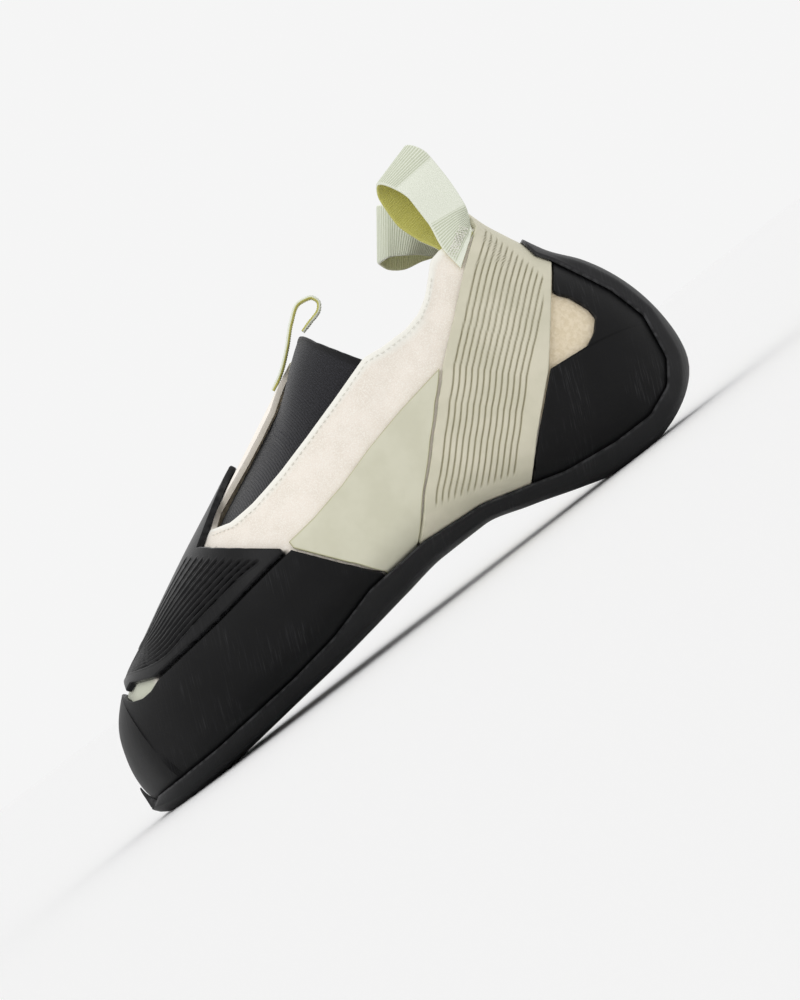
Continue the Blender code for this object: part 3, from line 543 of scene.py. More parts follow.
def wall(name, layers, material, floor=None):
    """One closed mesh of several patches, with a rim along each free edge."""
    grids = {key: np.concatenate([layer[key].reshape(-1, layer[key].shape[-1]) for layer in layers])
             for key in ("base", "normal", "outside", "inside", "cloth")}
    marks = {"edge": np.concatenate([layer["edge"].ravel() for layer in layers])}
    for key in layers[0]["marks"]:
        marks[key] = np.concatenate([np.broadcast_to(layer["marks"][key], layer["edge"].shape).ravel()
                                     for layer in layers])
    starts = np.cumsum([0] + [layer["edge"].size for layer in layers])
    cells = np.concatenate([cells_of(layer, start) for layer, start in zip(layers, starts)])
    keys = np.round(grids["base"] / SAME_POINT).astype(np.int64)
    first, index = np.unique(keys, axis=0, return_index=True, return_inverse=True)[1:]
    index = index.ravel()
    count = len(first)
    faces, places = [], []
    for cell in cells.tolist():
        kept = []
        for corner in cell:
            if index[corner] not in [index[other] for other in kept]:
                kept.append(corner)
        if len(kept) > 2:
            faces.append([int(index[corner]) for corner in kept])
            places.append(kept)
    edges = {}
    for face, place_of in zip(faces, places):
        for a, b, c, d in zip(face, face[1:] + face[:1], place_of, place_of[1:] + place_of[:1]):
            edges[(a, b)] = (c, d)
    rims = [(a, b, c, d) for (a, b), (c, d) in edges.items() if (b, a) not in edges]
    everything = list(faces)
    everything += [[corner + count for corner in reversed(face)] for face in faces]
    everything += [[b, a, a + count, b + count] for a, b, _, _ in rims]
    cloth_corners = [corner for face in places for corner in face]
    cloth_corners += [corner for face in places for corner in reversed(face)]
    cloth_corners += [corner for _, _, c, d in rims for corner in (d, c, c, d)]
    outside = grids["outside"][first]
    if floor is not None:
        outside[:, 2] = np.maximum(outside[:, 2], floor)
    points = np.vstack((outside, grids["inside"][first]))
    mesh = bpy.data.meshes.new(name)
    mesh.from_pydata(points.tolist(), [], everything)
    cloth = mesh.uv_layers.new(name="cloth")
    cloth.data.foreach_set("uv", grids["cloth"][cloth_corners].ravel())
    for key, values in marks.items():
        mark = mesh.attributes.new(key, "FLOAT", "POINT")
        mark.data.foreach_set("value", np.tile(values[first], 2))
    lining = mesh.attributes.new("lining", "FLOAT", "POINT")
    lining.data.foreach_set("value", np.repeat((0.0, 1.0), count))
    mesh.shade_smooth()
    mesh.set_sharp_from_angle(angle=math.radians(50))
    mesh.materials.append(material)
    piece = bpy.data.objects.new(name, mesh)
    bpy.context.collection.objects.link(piece)
    return piece


def dress(piece, slot, *nodes):
    """Lets a piece ride on the shoe and stand for its plain solids."""
    lit.objects.link(piece)
    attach(piece, "root")
    if nodes:
        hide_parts(*nodes)
    triangles = sum(len(face.vertices) - 2 for face in piece.data.polygons)
    print(piece.name, "triangles", triangles)


# %% [markdown]
# ## Tools for finishes
#
# Materials are node trees. A small helper adds a node and joins its inputs in one line. Effects that several
# finishes share are groups: grain from two sizes of noise, brush marks from stretched noise, wear near edges,
# the heather of knit and the rows of a weave. Each material places them with its own values.

# %% Node helpers
def srgb(red, green, blue):
    """A colour of the picture, 0 to 255, as Blender's linear colour."""
    share = np.array((red, green, blue)) / 255
    linear = np.where(share <= 0.04045, share / 12.92, ((share + 0.055) / 1.055) ** 2.4)
    return (*linear.tolist(), 1.0)


def node(tree, kind, inputs=None, **settings):
    made = tree.nodes.new(kind)
    for key, value in settings.items():
        setattr(made, key, value)
    for key, value in (inputs or {}).items():
        if isinstance(value, bpy.types.NodeSocket):
            tree.links.new(value, made.inputs[key])
        else:
            made.inputs[key].default_value = value
    return made


def sums(tree, operation, *values, clamp=False):
    return node(tree, "ShaderNodeMath", dict(enumerate(values)), operation=operation, use_clamp=clamp).outputs[0]


def mixed(tree, factor, low, high):
    made = node(tree, "ShaderNodeMix", {0: factor, 6: low, 7: high}, data_type="RGBA")
    return made.outputs[2]


def ramp(tree, value, low, high):
    """0 below the low value, 1 above the high one, soft between."""
    made = node(tree, "ShaderNodeMapRange", {"Value": value, "From Min": low, "From Max": high},
                interpolation_type="SMOOTHSTEP")
    return made.outputs["Result"]


def mark(tree, name):
    return node(tree, "ShaderNodeAttribute", attribute_name=name).outputs["Fac"]


def group(name, inputs, outputs):
    """An empty shader group with named sockets, and its input and output nodes."""
    tree = bpy.data.node_groups.new(name, "ShaderNodeTree")
    for label, kind, value in inputs:
        socket = tree.interface.new_socket(label, in_out="INPUT", socket_type=kind)
        if value is not None:
            socket.default_value = value
    for label, kind in outputs:
        tree.interface.new_socket(label, in_out="OUTPUT", socket_type=kind)
    return tree, tree.nodes.new("NodeGroupInput").outputs, tree.nodes.new("NodeGroupOutput")


def placed(tree, effect, inputs):
    """A group in a material, with this material's values."""
    made = tree.nodes.new("ShaderNodeGroup")
    made.node_tree = effect
    for key, value in inputs.items():
        if isinstance(value, bpy.types.NodeSocket):
            tree.links.new(value, made.inputs[key])
        else:
            made.inputs[key].default_value = value
    return made.outputs


FLOAT, VECTOR = "NodeSocketFloat", "NodeSocketVector"

# %% Grain: fine and broad noise
grain, come, go = group("grain", (("Place", VECTOR, None), ("Fine Size", FLOAT, 0.4), ("Broad Size", FLOAT, 12.0)),
                        (("Fine", FLOAT), ("Broad", FLOAT)))
for size, result in (("Fine Size", "Fine"), ("Broad Size", "Broad")):
    scale = sums(grain, "DIVIDE", 1000.0, come[size])
    noise = node(grain, "ShaderNodeTexNoise", {"Vector": come["Place"], "Scale": scale, "Detail": 3.0,
                                               "Roughness": 0.6})
    grain.links.new(noise.outputs[0], go.inputs[result])

# %% Brush marks: noise stretched along one direction
brushed, come, go = group("brush_marks", (("Place", VECTOR, None), ("Size", FLOAT, 0.5), ("Stretch", FLOAT, 25.0)),
                          (("Marks", FLOAT), ("Patches", FLOAT)))
scale = sums(brushed, "DIVIDE", 1000.0, come["Size"])
slow = sums(brushed, "DIVIDE", scale, come["Stretch"])
spread_scale = node(brushed, "ShaderNodeCombineXYZ", {"X": scale, "Y": slow, "Z": slow}).outputs[0]
stretched = node(brushed, "ShaderNodeVectorMath", {0: come["Place"], 1: spread_scale}, operation="MULTIPLY").outputs[0]
noise = node(brushed, "ShaderNodeTexNoise", {"Vector": stretched, "Scale": 1.0, "Detail": 4.0, "Roughness": 0.7})
where = node(brushed, "ShaderNodeTexNoise", {"Vector": come["Place"], "Scale": 55.0, "Detail": 2.0})
brushed.links.new(ramp(brushed, noise.outputs[0], 0.50, 0.72), go.inputs["Marks"])
brushed.links.new(ramp(brushed, where.outputs[0], 0.45, 0.68), go.inputs["Patches"])

# %% Wear: a broken line along an edge
worn, come, go = group("edge_wear", (("Place", VECTOR, None), ("Edge", FLOAT, 1.0), ("Width", FLOAT, 0.5)),
                       (("Worn", FLOAT),))
width = sums(worn, "DIVIDE", come["Width"], 1000.0)
share = sums(worn, "DIVIDE", come["Edge"], width)
noise = node(worn, "ShaderNodeTexNoise", {"Vector": come["Place"], "Scale": 400.0, "Detail": 3.0})
line = sums(worn, "SUBTRACT", 1.0, share, clamp=True)
worn.links.new(sums(worn, "MULTIPLY", line, ramp(worn, noise.outputs[0], 0.35, 0.65)), go.inputs["Worn"])

# %% Weave: rows of yarn on the piece's own cloth map
weave, come, go = group("weave", (("Cloth", VECTOR, None), ("Row", FLOAT, 0.9), ("Column", FLOAT, 0.7)),
                        (("Height", FLOAT), ("Heather", FLOAT)))
parts = node(weave, "ShaderNodeSeparateXYZ", {"Vector": come["Cloth"]}).outputs
waves = []
for axis, size in ((0, "Row"), (1, "Column")):
    turns = sums(weave, "MULTIPLY", sums(weave, "DIVIDE", parts[axis], sums(weave, "DIVIDE", come[size], 1000.0)),
                 2 * math.pi)
    waves.append(sums(weave, "SINE", turns))
height = sums(weave, "MULTIPLY_ADD", sums(weave, "MULTIPLY", waves[0], waves[1]), 0.5, waves[0])
speck = node(weave, "ShaderNodeTexNoise", {"Vector": come["Cloth"], "Scale": 2600.0, "Detail": 2.0})
weave.links.new(height, go.inputs["Height"])
weave.links.new(ramp(weave, speck.outputs[0], 0.42, 0.66), go.inputs["Heather"])
print("finish groups:", [tree.name for tree in (grain, brushed, worn, weave)])


# %% A material's frame
def finish(name, **settings):
    """A new material: its tree, its shader and its place coordinates."""
    material = bpy.data.materials.new(name)
    material.use_nodes = True
    tree = material.node_tree
    shader = tree.nodes["Principled BSDF"]
    for key, value in settings.items():
        shader.inputs[key.replace("_", " ").title().replace("Ior", "IOR")].default_value = value
    at = node(tree, "ShaderNodeTexCoord").outputs["Object"]
    return material, tree, shader, at


def bumped(tree, shader, height, strength, distance):
    bump = node(tree, "ShaderNodeBump", {"Height": height, "Strength": strength, "Distance": distance})
    tree.links.new(bump.outputs[0], shader.inputs["Normal"])


# %% [markdown]
# ## Black rubber
#
# The rand and the toe patch are sanded before they are glued, so their black is soft and shows fine brush marks.
# The same finish serves all black pieces, each with its own darkness, gloss and strength of marks.

# %% Rubber finishes
def rubber(name, dark, pale, roughness, marks, wear):
    material, tree, shader, at = finish(name, specular_ior_level=0.15)
    tilted = node(tree, "ShaderNodeMapping", {"Vector": at, "Rotation": (0, math.radians(-24), 0)}).outputs[0]
    brush = placed(tree, brushed, {"Place": tilted, "Size": 0.45, "Stretch": 30.0})
    fine = placed(tree, grain, {"Place": at, "Fine Size": 0.35, "Broad Size": 22.0})
    rubbed = placed(tree, worn, {"Place": at, "Edge": mark(tree, "edge"), "Width": wear})
    scratched = sums(tree, "MULTIPLY", sums(tree, "MULTIPLY", brush["Marks"], brush["Patches"]), marks)
    shade = sums(tree, "ADD", scratched, sums(tree, "MULTIPLY", rubbed["Worn"], 0.40), clamp=True)
    shade = sums(tree, "ADD", shade, sums(tree, "MULTIPLY", fine["Broad"], 0.12), clamp=True)
    # Painted shade: where the groove mark is set, as in the toe patch's grooves, the marks, wear and grain are taken
    # out, so the grooves are painted in the plain dark colour.
    groove = mark(tree, "groove")
    shade = sums(tree, "MULTIPLY", shade, sums(tree, "SUBTRACT", 1.0, groove, clamp=True))
    tree.links.new(mixed(tree, shade, dark, pale), shader.inputs["Base Color"])
    gloss = sums(tree, "MULTIPLY_ADD", sums(tree, "SUBTRACT", fine["Fine"], 0.5), 0.16, roughness)
    tree.links.new(sums(tree, "SUBTRACT", gloss, sums(tree, "MULTIPLY", rubbed["Worn"], 0.12)),
                   shader.inputs["Roughness"])
    height = sums(tree, "MULTIPLY_ADD", brush["Marks"], 0.5, fine["Fine"])
    bumped(tree, shader, height, 0.35, 0.00012)
    return material


rand_finish = rubber("rand_rubber", srgb(6, 6, 7), srgb(54, 54, 56), 0.48, 0.50, 0.4)
toe_finish = rubber("toe_rubber", srgb(13, 13, 14), srgb(60, 60, 62), 0.36, 0.16, 0.35)
heel_finish = rubber("heel_rubber", srgb(8, 8, 9), srgb(60, 60, 62), 0.46, 0.60, 0.4)
sole_finish = rubber("sole_rubber", srgb(33, 33, 34), srgb(84, 84, 86), 0.50, 0.25, 0.4)

# %% [markdown]
# ## The outsole
#
# A sheet of rubber wraps the whole underside: a band up each side, thick under the foot, and a strip up the heel
# that ends in a tip over the strap. It is swept along a spine under the foot, as in the solids, but finely, and
# its free edge is cut square with only a small round. The ball and the heel end on the floor.

# %% Sole strip
TOE_TURN = (0.19, 0.28)
HEEL_TURN = (0.83, 0.42)
SOLE_BEVEL = 0.30
SOLE_TOE_TAPER = 0.03
SOLE_HEEL_TAPER = 0.05
HEEL_STRIP_START = (0.75, 0.10)
SOLE_ROWS = 190
NOSE_X, NOSE_BACK, NOSE_ROUND, NOSE_LEAST = -0.12735, 1.6 * MM, 5.0 * MM, 0.8 * MM
NOSE_ROWS = (0.004, 0.006, 0.009, 0.012)
NOSE_TRIES = 6
FACES_AHEAD = 0.05
SPINE_SAMPLES = 41
SOLE_RIM = 0.5 * MM
SOLE_COLUMNS = 61


def cast(origin, direction):
    """Where lines from inside the last leave its skin, as stations and turns."""
    near = np.zeros(direction.shape[:-1])
    far = np.full(direction.shape[:-1], LENGTH)
    for _ in range(40):
        middle = (near + far) / 2
        point = origin + direction * middle[..., None]
        station = station_of(point[..., 0])
        row = section_at(station)
        side = point[..., 1] - row[..., 2]
        up = point[..., 2] - row[..., 4]
        distance = np.maximum(np.hypot(side, up), NOTHING)
        limit = reach(station, side / distance, up / distance)
        inside = (distance < limit) & (point[..., 0] > TOE_X) & (point[..., 0] < HEEL_X)
        near = np.where(inside, middle, near)
        far = np.where(inside, far, middle)
    turn = np.mod(np.arctan2(-side, -up) / (2 * math.pi), 1)
    return station, turn


def spine_row(station, turn, shares_across):
    """Stations and turns across the sole, from a point of its outer edge to the inner edge as high."""
    toe, heel = (seen_at(*turning) for turning in (TOE_TURN, HEEL_TURN))
    outer_point = skin(station, turn)
    inner_point = skin(station, turn_at(station, outer_point[2], inner_side=True))
    x = min(max(outer_point[0], toe[0]), heel[0])
    z = np.interp(x, (toe[0], heel[0]), (toe[1], heel[1]))
    origin = np.array((x, section_at(np.array(station))[2], z))
    down = np.array((outer_point[0] - x, 0, outer_point[2] - z))
    down /= np.linalg.norm(down)
    ends = []
    for point in (outer_point, inner_point):
        ends.append(math.atan2(point[1] - origin[1], np.dot(point - origin, down)))
    angle = ends[0] + (ends[1] - ends[0]) * shares_across
    return cast(origin, np.cos(angle)[:, None] * down + np.sin(angle)[:, None] * np.array((0, 1, 0)))


def sole_thickness(along, across):
    """Thin at its edges and ends, full under the foot, and a strip of its own thickness up the heel."""
    first, width = HEEL_STRIP_START
    full = SOLE_THICKNESS + (HEEL_STRIP - SOLE_THICKNESS) * eased((along - first) / width)
    bevel = eased((1 - np.abs(across)) / SOLE_BEVEL)
    taper = eased(along / SOLE_TOE_TAPER) * eased((1 - along) / SOLE_HEEL_TAPER)
    return SOLE_EDGE + (full - SOLE_EDGE) * bevel * taper


def even_shares(points, count):
    """Shares at which a row of points is cut into even lengths."""
    length = np.concatenate(([0], np.cumsum(np.linalg.norm(np.diff(points, axis=0), axis=1))))
    return np.interp(np.linspace(0, 1, count), length / length[-1], np.linspace(0, 1, len(points)))


# %% Outsole
edge_line = traced(SOLE_EDGE_LINE, SOLE_INNER, parts=3)
edge_points = skin(edge_line[:, 0], edge_line[:, 1])[:, (0, 2)]
edge_length = np.concatenate(([0], np.cumsum(np.linalg.norm(np.diff(edge_points, axis=0), axis=1))))
sole_along = shares(SOLE_ROWS, edge_length[-1], extra=NOSE_ROWS)
sole_stations, sole_turns = [], []
for length in sole_along * edge_length[-1]:
    row_station, row_turn = (float(np.interp(length, edge_length, column)) for column in edge_line.T)
    coarse = spine_row(row_station, row_turn, np.linspace(0, 1, SPINE_SAMPLES))
    even = even_shares(skin(*coarse), SOLE_COLUMNS)
    row = spine_row(row_station, row_turn, even)
    sole_stations.append(row[0])
    sole_turns.append(row[1])
sole_stations, sole_turns = np.array(sole_stations), np.array(sole_turns)
sole_width = walked(skin(sole_stations, sole_turns), 1)
across_sole = sole_width / sole_width[:, -1:] * 2 - 1
sole_outer = SOLE_INNER + sole_thickness(sole_along[:, None] + SOLE_TOE_TAPER, across_sole)
under, way = skin(sole_stations, sole_turns), outward(sole_stations, sole_turns)
ahead = np.maximum(-way[..., 0], FACES_AHEAD)
for _ in range(NOSE_TRIES):
    height = under[..., 2] - SHIFT[2] + way[..., 2] * sole_outer
    front = NOSE_X + NOSE_BACK * np.clip(1 - height / NOSE_ROUND, 0, 1) ** 2
    room = np.where(way[..., 0] < -FACES_AHEAD, (under[..., 0] - SHIFT[0] - front) / ahead, 1.0)
    sole_outer = np.maximum(np.minimum(sole_outer, room), SOLE_INNER + NOSE_LEAST)
sole_layer = sheet_layer(sole_stations, sole_turns, SOLE_INNER, sole_outer, ("start", "end", "low", "high"),
                         SOLE_RIM, {"groove": 0.0})
outsole = wall("outsole_dressed", [sole_layer], sole_finish, floor=0.0)
dress(outsole, "sole_rubber", "outsole")

# %% [markdown]
# ## The rand
#
# A band of thin rubber is stretched round the forefoot and glued under the sole. Both sides are one piece that
# meets on the ridge at the toe, so the two patches are merged along that line. Its top edge crosses the ridge in
# a small round tip, and extra rows follow that tip, because a jump from one row to the next would crease the rubber.

# %% Rand
RAND_RIM = 0.5 * MM
AT_RIDGE = 0.4995
UNDERSIDE_BEGINS, UNDERSIDE_GROWS = 0.12, 0.22
TIP_AHEAD, TIP_END, TIP_POINTS, OPENING_ROWS = 0.006, 3, 24, 110
ALMOND_LOW = ((0.069, 0.408), (0.078, 0.392), (0.095, 0.380), (0.112, 0.383), (0.128, 0.397))
rand_line = traced(ALMOND_LOW + RAND_TOP[2:], RAND_SKIN)
rand_line[0, 1] = 0.5
PATCH_START = float(rand_line[0, 0])
tip_turns = np.linspace(0.5, rand_line[TIP_END, 1], TIP_POINTS)
tip_stations = PATCH_START - TIP_AHEAD + (rand_line[TIP_END, 0] - PATCH_START + TIP_AHEAD) * (
    (0.5 - tip_turns) / (0.5 - rand_line[TIP_END, 1])) ** 2
tip_back = float(rand_line[TIP_END + 4, 0])
rand_line = np.vstack((np.column_stack((tip_stations, tip_turns)), rand_line[TIP_END + 1:]))


def rand_edge(station):
    return np.interp(station, rand_line[:, 0], rand_line[:, 1], left=0.5)


def rand_underside(station):
    return RAND_TURNED_UNDER * eased((station - UNDERSIDE_BEGINS) / UNDERSIDE_GROWS)


def patch_border(points):
    """The patch's lower edge, from the ridge at the toe back along the rand."""
    line = traced(moved(points, up=2 * SEAM), RAND_SKIN)
    line[0] = (PATCH_START + PATCH_BORDER, 0.5)
    return lambda station: np.interp(station, line[:, 0], line[:, 1])


rand_rear = edge_across(traced(RAND_REAR[::-1], RAND_SKIN), rand_underside, rand_edge)
opening_rows = np.linspace(tip_stations[0] / float(rand_rear(0.0)), tip_back / float(rand_rear(1.0)), OPENING_ROWS)
rand_station, rand_turn = patch(rand_underside, rand_edge, constant(0.0), rand_rear,
                                shares(120, 0.11, first=False, extra=opening_rows), shares(46, 0.05, first=False))
rand_base = skin(rand_station, rand_turn)
joined = rand_edge(rand_station[:, -1:]) > AT_RIDGE
to_top = walked(rand_base, 1)[:, -1:] - walked(rand_base, 1) + 2 * RAND_RIM * joined
rand_rim = np.minimum(to_top, walked(rand_base, 0)[-1:] - walked(rand_base, 0))
rand_layers = [sheet_layer(rand_station, turn, OVERLAY, RAND_SKIN - rounded(rand_rim, RAND_RIM), marks={"groove": 0.0})
               for turn in (rand_turn, 1 - rand_turn)]
for layer in rand_layers:
    layer["edge"] = rand_rim
dress(wall("rand_dressed", rand_layers, rand_finish), "rand_rubber", "rand")

# %% [markdown]
# ## The toe patch and its grooves
#
# Grip for toe hooks: eleven grooves run from a plain rear margin down to a bend, then close over the ridge. They
# are drawn in the side view and unrolled on the skin, where a distance to the nearest line gives the depth. The
# walls of a groove stand slightly proud, which is what catches the light.

# %% Unrolled skin
roll_stations = np.linspace(0, 1, 161)
roll_turns = np.linspace(0, 0.5, 121)
roll_points = skin(roll_stations[:, None], roll_turns[None, :])
roll_length = np.linalg.norm(np.diff(roll_points, axis=1), axis=-1)
roll_to_ridge = np.concatenate((np.cumsum(roll_length[:, ::-1], axis=1)[:, ::-1], np.zeros((161, 1))), axis=1)
roll_ahead = walked(skin(roll_stations, 0.40)[:, None], 0)[:, 0]


def unrolled(station, turn):
    """A point of the skin on the flat: its way along the shoe, and its way down from the ridge."""
    turn = np.minimum(turn, 1 - turn)
    row = np.clip(station, 0, 1) * 160
    column = np.clip(turn, 0, 0.5) * 240
    r, c = np.minimum(row.astype(int), 159), np.minimum(column.astype(int), 119)
    a, b = row - r, column - c
    table = roll_to_ridge
    down = (table[r, c] * (1 - a) * (1 - b) + table[r + 1, c] * a * (1 - b)
            + table[r, c + 1] * (1 - a) * b + table[r + 1, c + 1] * a * b)
    return np.stack((np.interp(station, roll_stations, roll_ahead), down), axis=-1)


def to_line(points, line):
    """Distance of flat points to a broken line."""
    best = np.full(points.shape[:-1], 1e3)
    for a, b in zip(line[:-1], line[1:]):
        way = b - a
        share = np.clip(((points - a) @ way) / (way @ way), 0, 1)
        best = np.minimum(best, np.linalg.norm(points - a - share[..., None] * way, axis=-1))
    return best


def softened(line, times=2):
    """The line with its corners cut again and again."""
    for _ in range(times):
        cut = np.stack((line[:-1] * 0.75 + line[1:] * 0.25, line[:-1] * 0.25 + line[1:] * 0.75), axis=1).reshape(-1, 2)
        line = np.vstack((line[:1], cut, line[-1:]))
    return line


# %% Toe patch
GROOVES = 11
PATCH_BORDER = 0.0035
GROOVE_DEPTH = 0.8 * MM
GROOVE_HALF = 0.36 * MM
patch_low = patch_border(ALMOND + RAND_TOP[2:])
patch_high = mirrored(patch_border(RAND_TOP))
inner_corner = traced((PATCH_REAR[2], PATCH_REAR[0]), RAND_SKIN, inner_side=True)
patch_rear = edge_across(np.vstack((traced(PATCH_REAR, RAND_SKIN), inner_corner)), patch_low, patch_high)
patch_station, patch_turn = patch(patch_low, patch_high, constant(PATCH_START + PATCH_FRONT), patch_rear,
                                  shares(104, 0.08), shares(380, 0.06))
flat = unrolled(patch_station, patch_turn)
nearest = np.full(flat.shape[:-1], 1.0)
for number in range(GROOVES):
    share = (number / (GROOVES - 1)) ** 1.15
    turns_here = measured((54 + 20.5 * share, 69.6 - 16 * share), (36 + 1.5 * share, 62 - 13.4 * share),
                          (30 - 2.7 * share, 59 - 12.2 * share), (24 - 7.6 * share, 56 - 7.6 * share))
    corners = [unrolled(*(np.array(value) for value in place(point, RAND_SKIN))) for point in turns_here]
    ridge_x = (20 - 10 * share + 12.6) / 255
    corners.append(np.array((np.interp(ridge_x, x_of(roll_stations) / LENGTH + 0.5, roll_ahead), 0.0)))
    line = softened(np.array(corners))
    nearest = np.minimum(nearest, to_line(flat, line))
cut = GROOVE_DEPTH * np.exp(-(nearest / GROOVE_HALF) ** 2)
lip = 0.16 * MM * np.exp(-((nearest - 0.78 * MM) / (0.25 * MM)) ** 2)
patch_outer = OVERLAY + PATCH_THICKNESS - cut + lip
# The groove mark tells the finish to paint the grooves dark, as shade.
toe_layer = sheet_layer(patch_station, patch_turn, OVERLAY, patch_outer, ("start", "end", "low", "high"), 0.0007,
                        {"groove": np.clip(cut / GROOVE_DEPTH, 0, 1)})
dress(wall("toe_patch_dressed", [toe_layer], toe_finish), "toe_rubber", "toe_patch")

# %% [markdown]
# ## The heel cup
#
# A second band of thin rubber closes round the heel, with a window left open in front of it on each side.

# %% Heel cup
cup_level = OVERLAY + CUP_THICKNESS
cup_front = edge_across(both_sides(moved(WINDOW, ahead=SEAM, up=-SEAM), cup_level), constant(0.0), constant(1.0))
cup_station, cup_turn = patch(constant(0.0), constant(1.0), cup_front, constant(1.0), shares(60, 0.05, last=False),
                              np.linspace(0, 1, 221))
cup_layer = sheet_layer(cup_station, cup_turn, OVERLAY, cup_level, ("start",), 0.0005, {"groove": 0.0})
dress(wall("heel_cup_dressed", [cup_layer], heel_finish), "heel_rubber", "heel_cup")

# %% [markdown]
# ## Suede, leather and lining
#
# The upper is one wall. Its visible part is cream suede with a soft nap, the heel shows tan wrinkled leather
# through the window, and the toe shows pale sage through the almond. Marks on the mesh say which is where, and
# the inner face is a pale lining. Creases are real: soft troughs laid along lines of the side view.

# %% Suede finish
suede, tree, shader, at = finish("cream_suede", specular_ior_level=0.18, sheen_weight=0.35, sheen_roughness=0.45)
nap = placed(tree, grain, {"Place": at, "Fine Size": 0.45, "Broad Size": 9.0})
hide = placed(tree, grain, {"Place": at, "Fine Size": 1.6, "Broad Size": 5.0})
cream = mixed(tree, ramp(tree, nap["Broad"], 0.35, 0.65), srgb(236, 227, 216), srgb(229, 220, 208))
cream = mixed(tree, ramp(tree, nap["Fine"], 0.40, 0.72), cream, srgb(243, 238, 229))
tan = mixed(tree, ramp(tree, hide["Fine"], 0.38, 0.62), srgb(220, 205, 176), srgb(230, 216, 190))
skin_colour = mixed(tree, mark(tree, "leather"), cream, tan)
skin_colour = mixed(tree, mark(tree, "toe"), skin_colour, srgb(199, 201, 184))
skin_colour = mixed(tree, mark(tree, "covered"), skin_colour, srgb(10, 10, 10))
folded = mixed(tree, mark(tree, "hem"), skin_colour, srgb(240, 238, 230))
tree.links.new(mixed(tree, mark(tree, "lining"), folded, srgb(222, 214, 200)), shader.inputs["Base Color"])
tree.links.new(sums(tree, "SUBTRACT", 0.88, sums(tree, "MULTIPLY", mark(tree, "leather"), 0.32)),
               shader.inputs["Roughness"])
wrinkle = sums(tree, "MULTIPLY", sums(tree, "MULTIPLY", hide["Fine"], mark(tree, "leather")), 5.0)
bumped(tree, shader, sums(tree, "ADD", nap["Fine"], wrinkle), 0.5, 0.00018)

# %% Creases
CREASES = (
    # the line in the side view, its depth and its half width, mm
    (((160, 80), (152, 78), (146, 73)), 0.9, 5.0),
    (((166, 86), (171, 80), (172, 73)), 0.6, 4.0),
    (((92, 69), (104, 66), (116, 66)), 0.35, 5.0),
    (((78, 66), (86, 60), (90, 54)), 0.35, 4.0),
    (((186, 96), (190, 88), (189, 80)), 0.5, 4.0),
)


def crease_depth(station, turn, level):
    """How far the creases sink the outer side here."""
    points = unrolled(station, turn)
    depth = np.zeros(station.shape)
    for line, deep, half in CREASES:
        spots = traced(measured(*line), level, parts=4)
        flat_line = unrolled(spots[:, 0], spots[:, 1])
        depth = np.maximum(depth, deep * MM * np.exp(-(to_line(points, flat_line) / (half * MM)) ** 2))
    return depth


# %% Upper
HEM_WIDTH, HEM_FADE, HEM_RAISED, TOP_RIM = 2.6 * MM, 0.5 * MM, 0.35 * MM, 0.7 * MM
HEM_BEGINS = 0.02
# where a mark begins and is full: along the shoe from its middle, or above the floor, mm
LEATHER_ALONG, LEATHER_UP, TOE_ALONG = (68.0, 69.0), (70.0, 73.0), (-96.0, -94.0)
ALMOND_TIP, ALMOND_REAR, ALMOND_UP = (-110.5, -109.5), (-94.0, -92.5), (36.5, 37.5)
RUBBER_UP, RUBBER_ENDS, RUBBER_FADE = (22.4, 48.5, 51.2, 69.4), (-8.5, -29.5, -32.5, -56.5), 1.0


def ramp_values(value, low, high):
    """Rises from 0 to 1 between two values."""
    return eased((value - low) / (high - low))


def upper_layer(low, high, outer_side):
    rows = shares(170, 0.24, first=False, last=False, extra=(SOLE_OPENING[0], SOLE_OPENING[1], THROAT_TIP))
    station, turn = patch(low, high, constant(0.0), constant(1.0), rows, shares(72, 0.10))
    base = skin(station, turn)
    to_top = walked(base, 1)[:, -1:] - walked(base, 1)
    throat = ramp_values(station, THROAT_TIP - HEM_BEGINS, THROAT_TIP)
    open_top = throat * (high(station[:, -1:]) < AT_RIDGE)
    hem = open_top * (1 - ramp_values(to_top, HEM_WIDTH, HEM_WIDTH + HEM_FADE))
    rim = rounded(to_top, TOP_RIM) * open_top
    outer = UPPER_WALL + HEM_RAISED * hem - rim - crease_depth(station, turn, UPPER_WALL)
    x = (base[..., 0] - SHIFT[0]) / MM
    z = (base[..., 2] - SHIFT[2]) / MM
    leather = ramp_values(x, *LEATHER_ALONG) * (1 - ramp_values(z, *LEATHER_UP))
    rubber_ends = np.interp(z, RUBBER_UP, RUBBER_ENDS)
    in_almond = ramp_values(x, *ALMOND_TIP) * (1 - ramp_values(x, *ALMOND_REAR)) * ramp_values(z, *ALMOND_UP)
    covered = (1 - ramp_values(x, rubber_ends - RUBBER_FADE, rubber_ends)) * (1 - in_almond)
    marks = {"leather": leather, "toe": 1 - ramp_values(x, *TOE_ALONG), "hem": hem, "covered": covered}
    real_turn = turn if outer_side else 1 - turn
    return sheet_layer(station, real_turn, 0.0, outer, marks=marks)


upper_layers = [upper_layer(sole_opening, near_edge, True), upper_layer(sole_opening, lambda s: 1 - far_edge(s), False)]
dress(wall("upper_dressed", upper_layers, suede), "cream_suede", "upper")

# %% [markdown]
# ## Side panels
#
# Smooth pale sage microfibre, bonded over the suede, with a thin yellow-green shadow where it ends.

# %% Sage panels
sage, tree, shader, at = finish("sage_microfibre", specular_ior_level=0.25, sheen_weight=0.15)
cloth = placed(tree, grain, {"Place": at, "Fine Size": 0.30, "Broad Size": 14.0})
face = mixed(tree, ramp(tree, cloth["Broad"], 0.35, 0.65), srgb(210, 208, 188), srgb(204, 202, 181))
